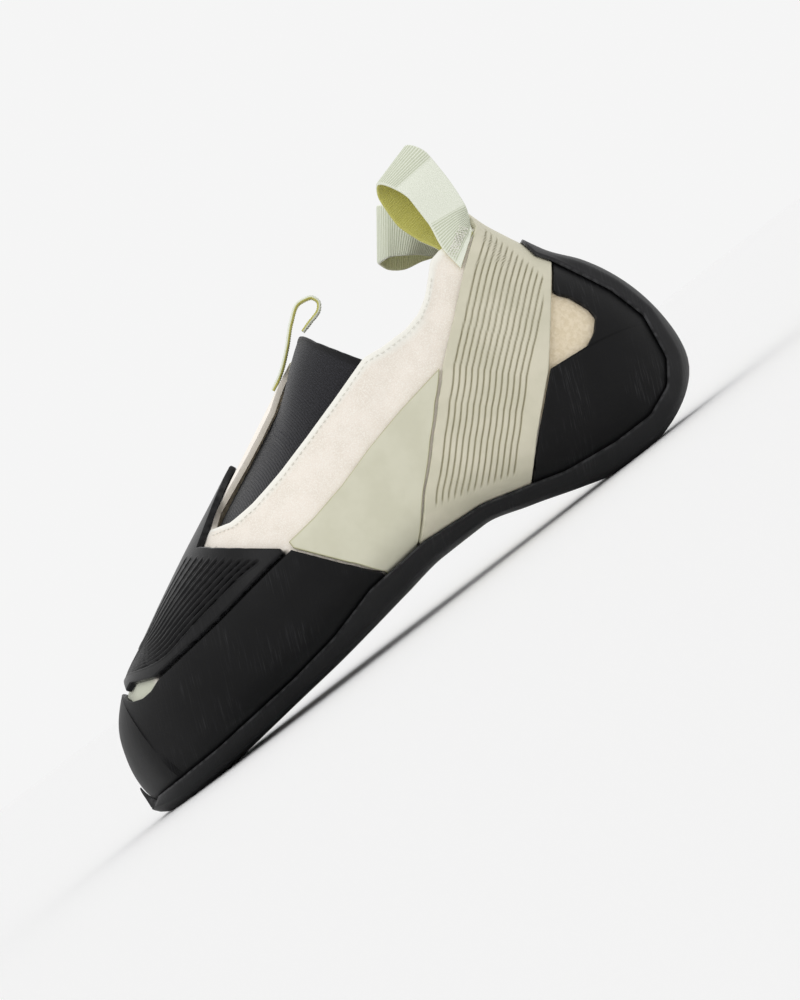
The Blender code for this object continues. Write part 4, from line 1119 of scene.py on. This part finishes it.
# Painted shadow: a thin yellow-green line, darker than the face, is painted along the panel's free edges where the
# panel ends.
painted_edge_shadow = sums(tree, "SUBTRACT", 1.0, sums(tree, "DIVIDE", mark(tree, "edge"), 0.0007), clamp=True)
tree.links.new(mixed(tree, painted_edge_shadow, face, srgb(168, 166, 118)), shader.inputs["Base Color"])
tree.links.new(sums(tree, "MULTIPLY_ADD", cloth["Fine"], 0.15, 0.58), shader.inputs["Roughness"])
bumped(tree, shader, cloth["Fine"], 0.25, 0.0001)

panel_level = OVERLAY + PANEL_THICKNESS
panel_top = edge_along(PANEL_TOP, panel_level)
panel_front = edge_across(traced(moved(RAND_REAR[::-1], ahead=2 * SEAM), panel_level), tucked_edge, panel_top)
panel_back = edge_across(traced(moved(STRAP_FRONT[:2], ahead=-3 * SEAM), panel_level), tucked_edge, panel_top)
panel_station, panel_turn = patch(tucked_edge, panel_top, panel_front, panel_back, shares(60, 0.05),
                                  shares(46, 0.05, first=False))
for side, turn in (("lateral", panel_turn), ("medial", 1 - panel_turn)):
    layer = sheet_layer(panel_station, turn, OVERLAY, panel_level, ("start", "end", "high"), 0.0004)
    dress(wall("side_panel_" + side + "_dressed", [layer], sage), "sage_microfibre", "side_panel_" + side)

# %% [markdown]
# ## The strap
#
# A moulded rubber strap runs from the arch over the heel and down the other side. Thirteen thin grooves are
# engraved along it, an even way apart from its front edge. Its grid is dense across the grooves, not along them.

# %% Strap finish
strap_finish, tree, shader, at = finish("strap_rubber", specular_ior_level=0.35)
skin_grain = placed(tree, grain, {"Place": at, "Fine Size": 0.5, "Broad Size": 18.0})
face = mixed(tree, ramp(tree, skin_grain["Broad"], 0.35, 0.65), srgb(212, 207, 187), srgb(203, 199, 178))
# Painted shade: the engraved grooves are painted a darker olive, which stands for the shade in them.
face = mixed(tree, sums(tree, "MULTIPLY", mark(tree, "groove"), 0.85), face, srgb(140, 134, 104))
rubbed = placed(tree, worn, {"Place": at, "Edge": mark(tree, "edge"), "Width": 0.8})
tree.links.new(mixed(tree, sums(tree, "MULTIPLY", rubbed["Worn"], 0.5), face, srgb(176, 176, 152)),
               shader.inputs["Base Color"])
tree.links.new(sums(tree, "MULTIPLY_ADD", skin_grain["Fine"], 0.18, 0.48), shader.inputs["Roughness"])
bumped(tree, shader, skin_grain["Fine"], 0.2, 0.0001)

# %% Strap
STRAP_GROOVES = 13
FIRST_GROOVE, GROOVE_PITCH = 4.0, 2.13
ENGRAVED = 0.55 * MM
ENGRAVED_HALF = 0.52
BACK_MARGIN, BACK_FADE, END_FADE = 2.4, 0.8, 1.0
# where the grooves end, in the side view: two points of the lower line, and a point and the slope of the upper one
LOWER_ALONG, LOWER_UP = (136, 167), (31, 22)
UPPER_POINT, UPPER_SLOPE, UPPER_HALF = (210.6, 96.7), (-0.978, -0.2075), 60
strap_level = OVERLAY + STRAP_THICKNESS
strap_front = edge_across(both_sides(STRAP_FRONT, strap_level), tucked_edge, mirrored(tucked_edge))
strap_back = edge_across(both_sides(STRAP_BACK, strap_level), tucked_edge, mirrored(tucked_edge))
strap_along = shares(180, 0.045)
strap_station, strap_turn = patch(tucked_edge, mirrored(tucked_edge), strap_front, strap_back, strap_along,
                                  np.linspace(0, 1, 231))
seen = (skin(strap_station, strap_turn) + outward(strap_station, strap_turn) * strap_level) / MM
seen_x, seen_z = seen[..., 0] + 114.9, seen[..., 2]
side_view = np.stack((seen_x, seen_z), axis=-1)
half = (strap_turn.shape[1] + 1) // 2


def from_row(edge):
    """How far each point lies from an edge of the strap, in the side view of its own side."""
    near = to_line(side_view[:, :half], side_view[edge, :half])
    far = to_line(side_view[:, half:], side_view[edge, half - 1:])
    return np.concatenate((near, far), axis=1)


behind_front, ahead_of_back = from_row(0), from_row(-1)
number = np.clip(np.round((behind_front - FIRST_GROOVE) / GROOVE_PITCH), 0, STRAP_GROOVES - 1)
to_groove = np.abs(behind_front - FIRST_GROOVE - number * GROOVE_PITCH)
cut = eased(1 - to_groove / ENGRAVED_HALF) * eased((ahead_of_back - BACK_MARGIN) / BACK_FADE)
low_end = seen_z - np.interp(seen_x, LOWER_ALONG, LOWER_UP)
high_end = (seen_x - UPPER_POINT[0]) * UPPER_SLOPE[0] + (seen_z - UPPER_POINT[1]) * UPPER_SLOPE[1]
cut = cut * eased(low_end / END_FADE) * np.where(seen_z > UPPER_HALF, eased(high_end / END_FADE), 1.0)
# The groove mark carries the cut to the finish, which paints the grooves darker as shade.
strap_layer = sheet_layer(strap_station, strap_turn, OVERLAY, strap_level - ENGRAVED * cut, ("start", "end"), 0.0005,
                          {"groove": cut})
dress(wall("strap_dressed", [strap_layer], strap_finish), "strap_rubber", "strap")

# %% [markdown]
# ## The gore
#
# Black stretch knit fills the throat. Its heather and fine ribs are a finish on its own cloth map. The upper
# half lies over the lower, so the sheet has a small step there, and its free top edge is a thicker hem.

# %% Gore
knit, tree, shader, at = finish("gore_knit", specular_ior_level=0.2, sheen_weight=0.3, sheen_roughness=0.5)
own = node(tree, "ShaderNodeUVMap", uv_map="cloth").outputs[0]
yarn = placed(tree, weave, {"Cloth": own, "Row": 1.1, "Column": 0.55})
fleck = sums(tree, "MULTIPLY", yarn["Heather"], sums(tree, "SUBTRACT", 1.0, mark(tree, "hem"), clamp=True))
tree.links.new(mixed(tree, fleck, srgb(13, 13, 15), srgb(50, 50, 56)), shader.inputs["Base Color"])
shader.inputs["Roughness"].default_value = 0.9
bumped(tree, shader, yarn["Height"], 0.6, 0.00015)

GORE_STEP = 0.58


def gore_low(station):
    return near_edge(station) - GORE_UNDER_UPPER


def gore_high(station):
    return far_edge(station) + GORE_UNDER_UPPER


gore_ends = np.vstack((traced(GORE_TOP, UPPER_WALL), traced(GORE_TOP[::-1], UPPER_WALL, inner_side=True)))
gore_top = edge_across(gore_ends, gore_low, gore_high)
gore_along = shares(110, 0.07, first=False, extra=(GORE_STEP - 0.008, GORE_STEP, GORE_STEP + 0.008))
gore_station, gore_turn = patch(gore_low, gore_high, constant(THROAT_TIP - GORE_AHEAD_OF_THROAT), gore_top, gore_along,
                                np.linspace(0, 1, 81))
rise = eased((gore_station - THROAT_TIP) / (gore_station[-1].min() - THROAT_TIP) * 2 - 1)
across = (gore_turn - gore_turn[:, :1]) / (gore_turn[:, -1:] - gore_turn[:, :1])
gore_lift = UNDER_UPPER + GORE_FLARE * rise * np.sin(math.pi * across) ** 4
step = eased((gore_along[:, None] - GORE_STEP) / 0.012) * 0.35 * MM
to_top = walked(skin(gore_station, gore_turn), 0)[-1:] - walked(skin(gore_station, gore_turn), 0)
top_hem = 1 - ramp_values(to_top, 2.5 * MM, 3.0 * MM)
gore_outer = gore_lift + (step + 0.2 * MM * top_hem) * np.sin(math.pi * across) ** 0.5
gore_layer = sheet_layer(gore_station, gore_turn, gore_lift - GORE_THICKNESS, gore_outer, ("end",), 0.0005,
                         {"hem": top_hem, "groove": 0.0})
dress(wall("gore_dressed", [gore_layer], knit), "gore_knit", "gore")

# %% [markdown]
# ## The insole board
#
# Seen only through the collar: a pale felt-like board with a faint grain.

# %% Insole
board, tree, shader, at = finish("insole_board", specular_ior_level=0.2)
felt = placed(tree, grain, {"Place": at, "Fine Size": 0.6, "Broad Size": 16.0})
tree.links.new(mixed(tree, felt["Fine"], srgb(176, 168, 152), srgb(206, 198, 182)), shader.inputs["Base Color"])
tree.links.new(sums(tree, "MULTIPLY_ADD", felt["Broad"], 0.1, 0.82), shader.inputs["Roughness"])
bumped(tree, shader, felt["Fine"], 0.4, 0.0002)
insole_start, insole_end = (constant(float(station_of(share * LENGTH))) for share in INSOLE_ENDS)
insole_station, insole_turn = patch(constant(-INSOLE_TURN), constant(INSOLE_TURN), insole_start, insole_end,
                                    shares(90, 0.2), shares(30, 0.06))
insole_layer = sheet_layer(insole_station, insole_turn, UNDER_UPPER - INSOLE_THICKNESS, UNDER_UPPER, ())
dress(wall("insole_dressed", [insole_layer], board), "insole_board", "insole")

# %% [markdown]
# ## Webbing loops
#
# Each pull loop is a folded band of ribbed webbing. The band follows the same rows of points as its solid. Its
# ribs repeat along it, so Geometry Nodes raise them: the height is a wave of the way walked along the band,
# and a mark keeps the flat middle of the near heel loop bare.

# %% Rib tree
def geometry_tree(name, sockets):
    tree = bpy.data.node_groups.new(name, "GeometryNodeTree")
    tree.interface.new_socket("Geometry", in_out="INPUT", socket_type="NodeSocketGeometry")
    for label, kind in sockets:
        tree.interface.new_socket(label, in_out="INPUT", socket_type=kind)
    tree.interface.new_socket("Geometry", in_out="OUTPUT", socket_type="NodeSocketGeometry")
    return tree, tree.nodes.new("NodeGroupInput").outputs, tree.nodes.new("NodeGroupOutput")


def ends_with(tree, come, go, geometry):
    real = node(tree, "GeometryNodeRealizeInstances", {0: geometry}).outputs[0]
    coloured = node(tree, "GeometryNodeSetMaterial", {"Geometry": real, "Material": come["Material"]}).outputs[0]
    tree.links.new(coloured, go.inputs[0])


ribs, come, go = geometry_tree("ribs_along_band", (("Rib Spacing", FLOAT), ("Rib Height", FLOAT),
                                                   ("Material", "NodeSocketMaterial")))
way = node(ribs, "GeometryNodeInputNamedAttribute", {"Name": "way"}, data_type="FLOAT").outputs[0]
ribbed = node(ribs, "GeometryNodeInputNamedAttribute", {"Name": "ribbed"}, data_type="FLOAT").outputs[0]
turns = sums(ribs, "MULTIPLY", sums(ribs, "DIVIDE", way, come["Rib Spacing"]), 2 * math.pi)
wave = sums(ribs, "MULTIPLY_ADD", sums(ribs, "SINE", turns), 0.5, 0.5)
high = sums(ribs, "MULTIPLY", sums(ribs, "MULTIPLY", wave, ribbed), come["Rib Height"])
facing = node(ribs, "GeometryNodeInputNormal").outputs[0]
raised = node(ribs, "ShaderNodeVectorMath", {0: facing, "Scale": high}, operation="SCALE").outputs[0]
lifted = node(ribs, "GeometryNodeSetPosition", {"Geometry": come["Geometry"], "Offset": raised}).outputs[0]
ends_with(ribs, come, go, lifted)


def grown(piece, tree, values):
    """Runs a tree on a piece and leaves a plain mesh."""
    modifier = piece.modifiers.new(tree.name, "NODES")
    modifier.node_group = tree
    names = {item.name: item.identifier for item in tree.interface.items_tree if item.in_out == "INPUT"}
    for label, value in values.items():
        modifier[names[label]] = value
    bpy.context.view_layer.update()
    ready = piece.evaluated_get(bpy.context.evaluated_depsgraph_get())
    mesh = bpy.data.meshes.new_from_object(ready)
    piece.modifiers.clear()
    old = piece.data
    piece.data = mesh
    bpy.data.meshes.remove(old)
    mesh.name = piece.name
    return piece


# %% Webbing finish
webbing, tree, shader, at = finish("webbing", specular_ior_level=0.25, sheen_weight=0.25)
own = node(tree, "ShaderNodeUVMap", uv_map="cloth").outputs[0]
yarn = placed(tree, weave, {"Cloth": own, "Row": 0.45, "Column": 0.7})
pale = mixed(tree, yarn["Heather"], srgb(224, 228, 212), srgb(236, 238, 226))
lime = mixed(tree, yarn["Heather"], srgb(186, 182, 92), srgb(204, 201, 122))
# Painted shade: the valleys between the raised ribs are painted a darker grey-green.
between = mixed(tree, mark(tree, "rib_valley_shade"), pale, srgb(188, 194, 168))
tree.links.new(mixed(tree, mark(tree, "inner"), between, lime), shader.inputs["Base Color"])
shader.inputs["Roughness"].default_value = 0.8
bumped(tree, shader, yarn["Height"], 0.35, 0.0001)

# %% Bands
NEAR_LOOP = (
    # along and height of one edge, along and height of the other, then how far out each lies
    (0.812, 1.057, 0.870, 1.040, 0.42, 0.33),
    (0.812, 1.151, 0.873, 1.151, 0.41, 0.32),
    (0.802, 1.225, 0.872, 1.245, 0.38, 0.30),
    (0.790, 1.262, 0.857, 1.309, 0.30, 0.23),
    (0.780, 1.222, 0.845, 1.250, 0.22, 0.17),
    (0.778, 1.132, 0.842, 1.160, 0.20, 0.15),
    (0.788, 1.040, 0.844, 1.055, 0.24, 0.17),
)
FAR_LOOP = (
    (0.783, 0.985, 0.835, 1.095, 0.42, 0.33),
    (0.755, 1.000, 0.807, 1.150, 0.41, 0.34),
    (0.733, 1.040, 0.785, 1.200, 0.37, 0.32),
    (0.729, 1.066, 0.779, 1.226, 0.28, 0.23),
    (0.745, 1.060, 0.790, 1.200, 0.18, 0.14),
    (0.765, 1.032, 0.812, 1.130, 0.18, 0.12),
    (0.785, 1.000, 0.832, 1.060, 0.26, 0.18),
)
LOOP_IN_COLLAR = ((0.803, 0.945), (0.838, 0.940))
LOOP_END = ((0.803, 0.865), (0.838, 0.862))
FRONT_LOOP = (
    (0.551, 1.022), (0.579, 1.085), (0.604, 1.121), (0.622, 1.112), (0.627, 1.086), (0.618, 1.058),
    (0.600, 1.046), (0.584, 1.035),
)
FRONT_LOOP_BASE = ((0.500, 0.910), (0.520, 0.950))
WIDE_BASE = ((0.809, 0.868), (0.855, 0.946))
WIDE_AT_COLLAR = ((0.806, 0.955), (0.862, 0.988))
LOOP_COLUMNS = 4
BAND_COLUMNS = 25
RIB_SPACING = 0.85 * MM


def row_on_skin(ends, distance, inner_side):
    row = []
    for share in np.linspace(0, 1, LOOP_COLUMNS):
        point = tuple(a + (b - a) * share for a, b in zip(*ends))
        station, turn = place(point, distance, inner_side)
        row.append(skin(station, turn) + outward(station, turn) * distance)
    return row


def free_row(values, side):
    along_a, height_a, along_b, height_b, out_a, out_b = values
    ends = []
    for along, height, out in ((along_a, height_a, out_a), (along_b, height_b, out_b)):
        x, z = seen_at(along, height)
        ends.append(np.array((x, side * out * HEEL_WIDTH, z)))
    return [ends[0] + (ends[1] - ends[0]) * share for share in np.linspace(0, 1, LOOP_COLUMNS)]


def band(name, rows, steps, plain_from, plain_to, lime_share=1.0):
    """A fine band through rows of points, ribbed outside the plain stretch."""
    rows = np.array(rows)
    centre = rows.mean(axis=1)
    length = np.concatenate(([0], np.cumsum(np.linalg.norm(np.diff(centre, axis=0), axis=1))))
    read = smooth_table(length, rows.reshape(len(rows), -1))
    coarse = read(np.linspace(0, length[-1], steps)).reshape(steps, rows.shape[1], 3)
    old = np.linspace(0, 1, rows.shape[1])
    new = shares(BAND_COLUMNS - 8, np.linalg.norm(rows[0, 0] - rows[0, -1]))
    points = np.stack([np.stack([np.interp(new, old, line[:, axis]) for axis in range(3)], axis=-1) for line in coarse])
    normal = np.cross(np.gradient(points, axis=0), np.gradient(points, axis=1))
    normal /= np.linalg.norm(normal, axis=-1, keepdims=True)
    top = int(np.argmax(points[..., 2].mean(axis=1)))
    outwards = 1.0 if normal[top, :, 2].mean() > 0 else -1.0
    edge = from_edges(points, ("low", "high"))
    thick = WEBBING_THICKNESS / 2 - rounded(edge, WEBBING_THICKNESS / 2 * 0.8)
    way = np.broadcast_to(np.linspace(0, length[-1], steps)[:, None], edge.shape)
    spot = way / length[-1]
    bare = ramp_values(spot, plain_from - 0.015, plain_from) * (1 - ramp_values(spot, plain_to, plain_to + 0.015))
    held = eased((way - 1.5 * MM) / MM) * eased((length[-1] - way - 1.5 * MM) / MM) * eased(edge / (0.8 * MM))
    ribbed = (1 - bare) * held
    # 1 in each valley between the ribs, where the finish paints shade.
    wave = 0.5 - 0.5 * np.sin(way / RIB_SPACING * 2 * math.pi)
    layer = {"base": points, "normal": normal, "edge": edge,
             "outside": points + normal * thick[..., None] - SHIFT,
             "inside": points - normal * thick[..., None] - SHIFT,
             "cloth": np.stack((way, walked(points, 1)), axis=-1),
             "marks": {"way": way, "ribbed": ribbed, "rib_valley_shade": ribbed * wave}}
    piece = wall(name, [layer], webbing)
    count = len(piece.data.vertices) // 2
    inner = piece.data.attributes.new("inner", "FLOAT", "POINT")
    inner.data.foreach_set("value", np.repeat((0.0, lime_share) if outwards > 0 else (lime_share, 0.0), count))
    grown(piece, ribs, {"Rib Spacing": RIB_SPACING, "Rib Height": 0.22 * MM, "Material": webbing})
    print(name, "length, mm:", round(length[-1] / MM, 1))
    return piece


# %% Heel loops and front loop
# The medial loop's inner face takes only 0.45 of the lime: a greyer copy of the same webbing, painted to stand for that
# face lying in shade.
loops = (("heel_pull_loop_lateral", NEAR_LOOP, -1, 0.17, 0.36, 1.0),
         ("heel_pull_loop_medial", FAR_LOOP, 1, 0.9, 0.9, 0.45))
for name, table, side, plain_from, plain_to, lime_share in loops:
    outer_level = OVERLAY + WEBBING_THICKNESS / 2
    inner_level = UNDER_UPPER - WEBBING_THICKNESS
    rows = [row_on_skin(WIDE_BASE, outer_level, side > 0), row_on_skin(WIDE_AT_COLLAR, outer_level, side > 0)]
    rows += [free_row(values, side) for values in table]
    rows += [row_on_skin(LOOP_IN_COLLAR, inner_level, side > 0), row_on_skin(LOOP_END, inner_level, side > 0)]
    dress(band(name + "_dressed", rows, 420, plain_from, plain_to, lime_share), "webbing", name)

front_level = OVERLAY + WEBBING_THICKNESS / 2
front_rows = []
for point in FRONT_LOOP_BASE:
    station = place(point, front_level)[0]
    front_rows.append(skin(station, 0.5) + outward(station, 0.5) * front_level)
ridge = front_rows[-1][1]
for along, height in FRONT_LOOP:
    x, z = seen_at(along, height)
    front_rows.append(np.array((x, ridge, z)))
half_band = np.array((0, FRONT_WEBBING_WIDTH / 2, 0))
front_rows = [[row - half_band, row + half_band] for row in front_rows]
dress(band("front_pull_loop_dressed", front_rows, 260, 0.9, 0.9), "webbing", "front_pull_loop")

# %% [markdown]
# ## Stitches
#
# Every seam is a row of short threads. A line is drawn where the needle went, and one tree cuts it into even
# steps and lays a small capsule on each, turned along the line.

# %% Stitch tree
stitches, come, go = geometry_tree("stitches_along_line", (
    ("Pitch", FLOAT), ("Stitch Length", FLOAT), ("Thread", FLOAT), ("Material", "NodeSocketMaterial")))
path = node(stitches, "GeometryNodeMeshToCurve", {"Mesh": come["Geometry"]}).outputs[0]
steps = node(stitches, "GeometryNodeResampleCurve", {"Curve": path, "Length": come["Pitch"]}, mode="LENGTH").outputs[0]
tangent = node(stitches, "GeometryNodeInputTangent").outputs[0]
turned = node(stitches, "FunctionNodeAlignRotationToVector", {"Vector": tangent}, axis="X").outputs[0]
ball = node(stitches, "GeometryNodeMeshUVSphere", {"Segments": 8, "Rings": 6, "Radius": 0.5}).outputs[0]
size = node(stitches, "ShaderNodeCombineXYZ", {"X": come["Stitch Length"], "Y": come["Thread"], "Z": come["Thread"]})
laid = node(stitches, "GeometryNodeInstanceOnPoints", {
    "Points": steps, "Instance": ball, "Rotation": turned, "Scale": size.outputs[0]}).outputs[0]
ends_with(stitches, come, go, laid)


def thread(name, colour):
    material, tree, shader, at = finish(name, specular_ior_level=0.3)
    twist = placed(tree, grain, {"Place": at, "Fine Size": 0.25, "Broad Size": 3.0})
    dark = tuple(value * 0.8 for value in colour[:3]) + (1.0,)
    tree.links.new(mixed(tree, twist["Fine"], dark, colour), shader.inputs["Base Color"])
    shader.inputs["Roughness"].default_value = 0.6
    bumped(tree, shader, twist["Fine"], 0.4, 0.0001)
    return material


pale_thread = thread("pale_thread", srgb(238, 236, 226))
dark_thread = thread("dark_thread", srgb(52, 52, 58))


def sewn(name, lines, pitch, length, thick, material, slot):
    """Rows of stitches along lines in space."""
    points, edges = [], []
    for line in lines:
        edges += [(len(points) + number, len(points) + number + 1) for number in range(len(line) - 1)]
        points += [tuple(point) for point in line]
    mesh = bpy.data.meshes.new(name)
    mesh.from_pydata(points, edges, [])
    piece = bpy.data.objects.new(name, mesh)
    bpy.context.collection.objects.link(piece)
    grown(piece, stitches, {"Pitch": pitch * MM, "Stitch Length": length * MM, "Thread": thick * MM,
                            "Material": material})
    piece.data.shade_smooth()
    dress(piece, slot)


# %% Seams
hem_level = UPPER_WALL + 0.45 * MM
near_seam = on_skin(moved(THROAT_NEAR + COLLAR[1:6], up=-1.9 * MM), hem_level)
sewn("throat_stitches", [near_seam], 2.3, 1.5, 0.42, pale_thread, "cream_suede")
step_row = int(np.argmin(np.abs(gore_along - GORE_STEP - 0.03)))
gore_lines = [gore_layer["outside"][row, 12:70] for row in (step_row, step_row + 3)]
sewn("gore_stitches", gore_lines, 1.9, 1.2, 0.32, dark_thread, "gore_knit")


def zigzag(side, along_from, along_to, column, count):
    """A zigzag over the base of a heel loop, in the side view."""
    corners = []
    for number in range(count):
        share = number / (count - 1)
        along = along_from[0] + (along_to[0] - along_from[0]) * share
        height = along_from[1] + (along_to[1] - along_from[1]) * share
        swing = column if number % 2 else -column
        corners.append((along - swing * 0.5, height + swing))
    return on_skin(tuple(corners), OVERLAY + WEBBING_THICKNESS + 0.12 * MM, side > 0, parts=3)


for side, word in ((-1, "lateral"), (1, "medial")):
    lines = [zigzag(side, (0.812 + shift, 0.925 + shift * 1.4), (0.843 + shift, 0.965 + shift * 1.4), 0.010, 12)
             for shift in (-0.003, 0.006)]
    sewn("loop_stitches_" + word, lines, 1.15, 1.1, 0.36, pale_thread, "webbing")
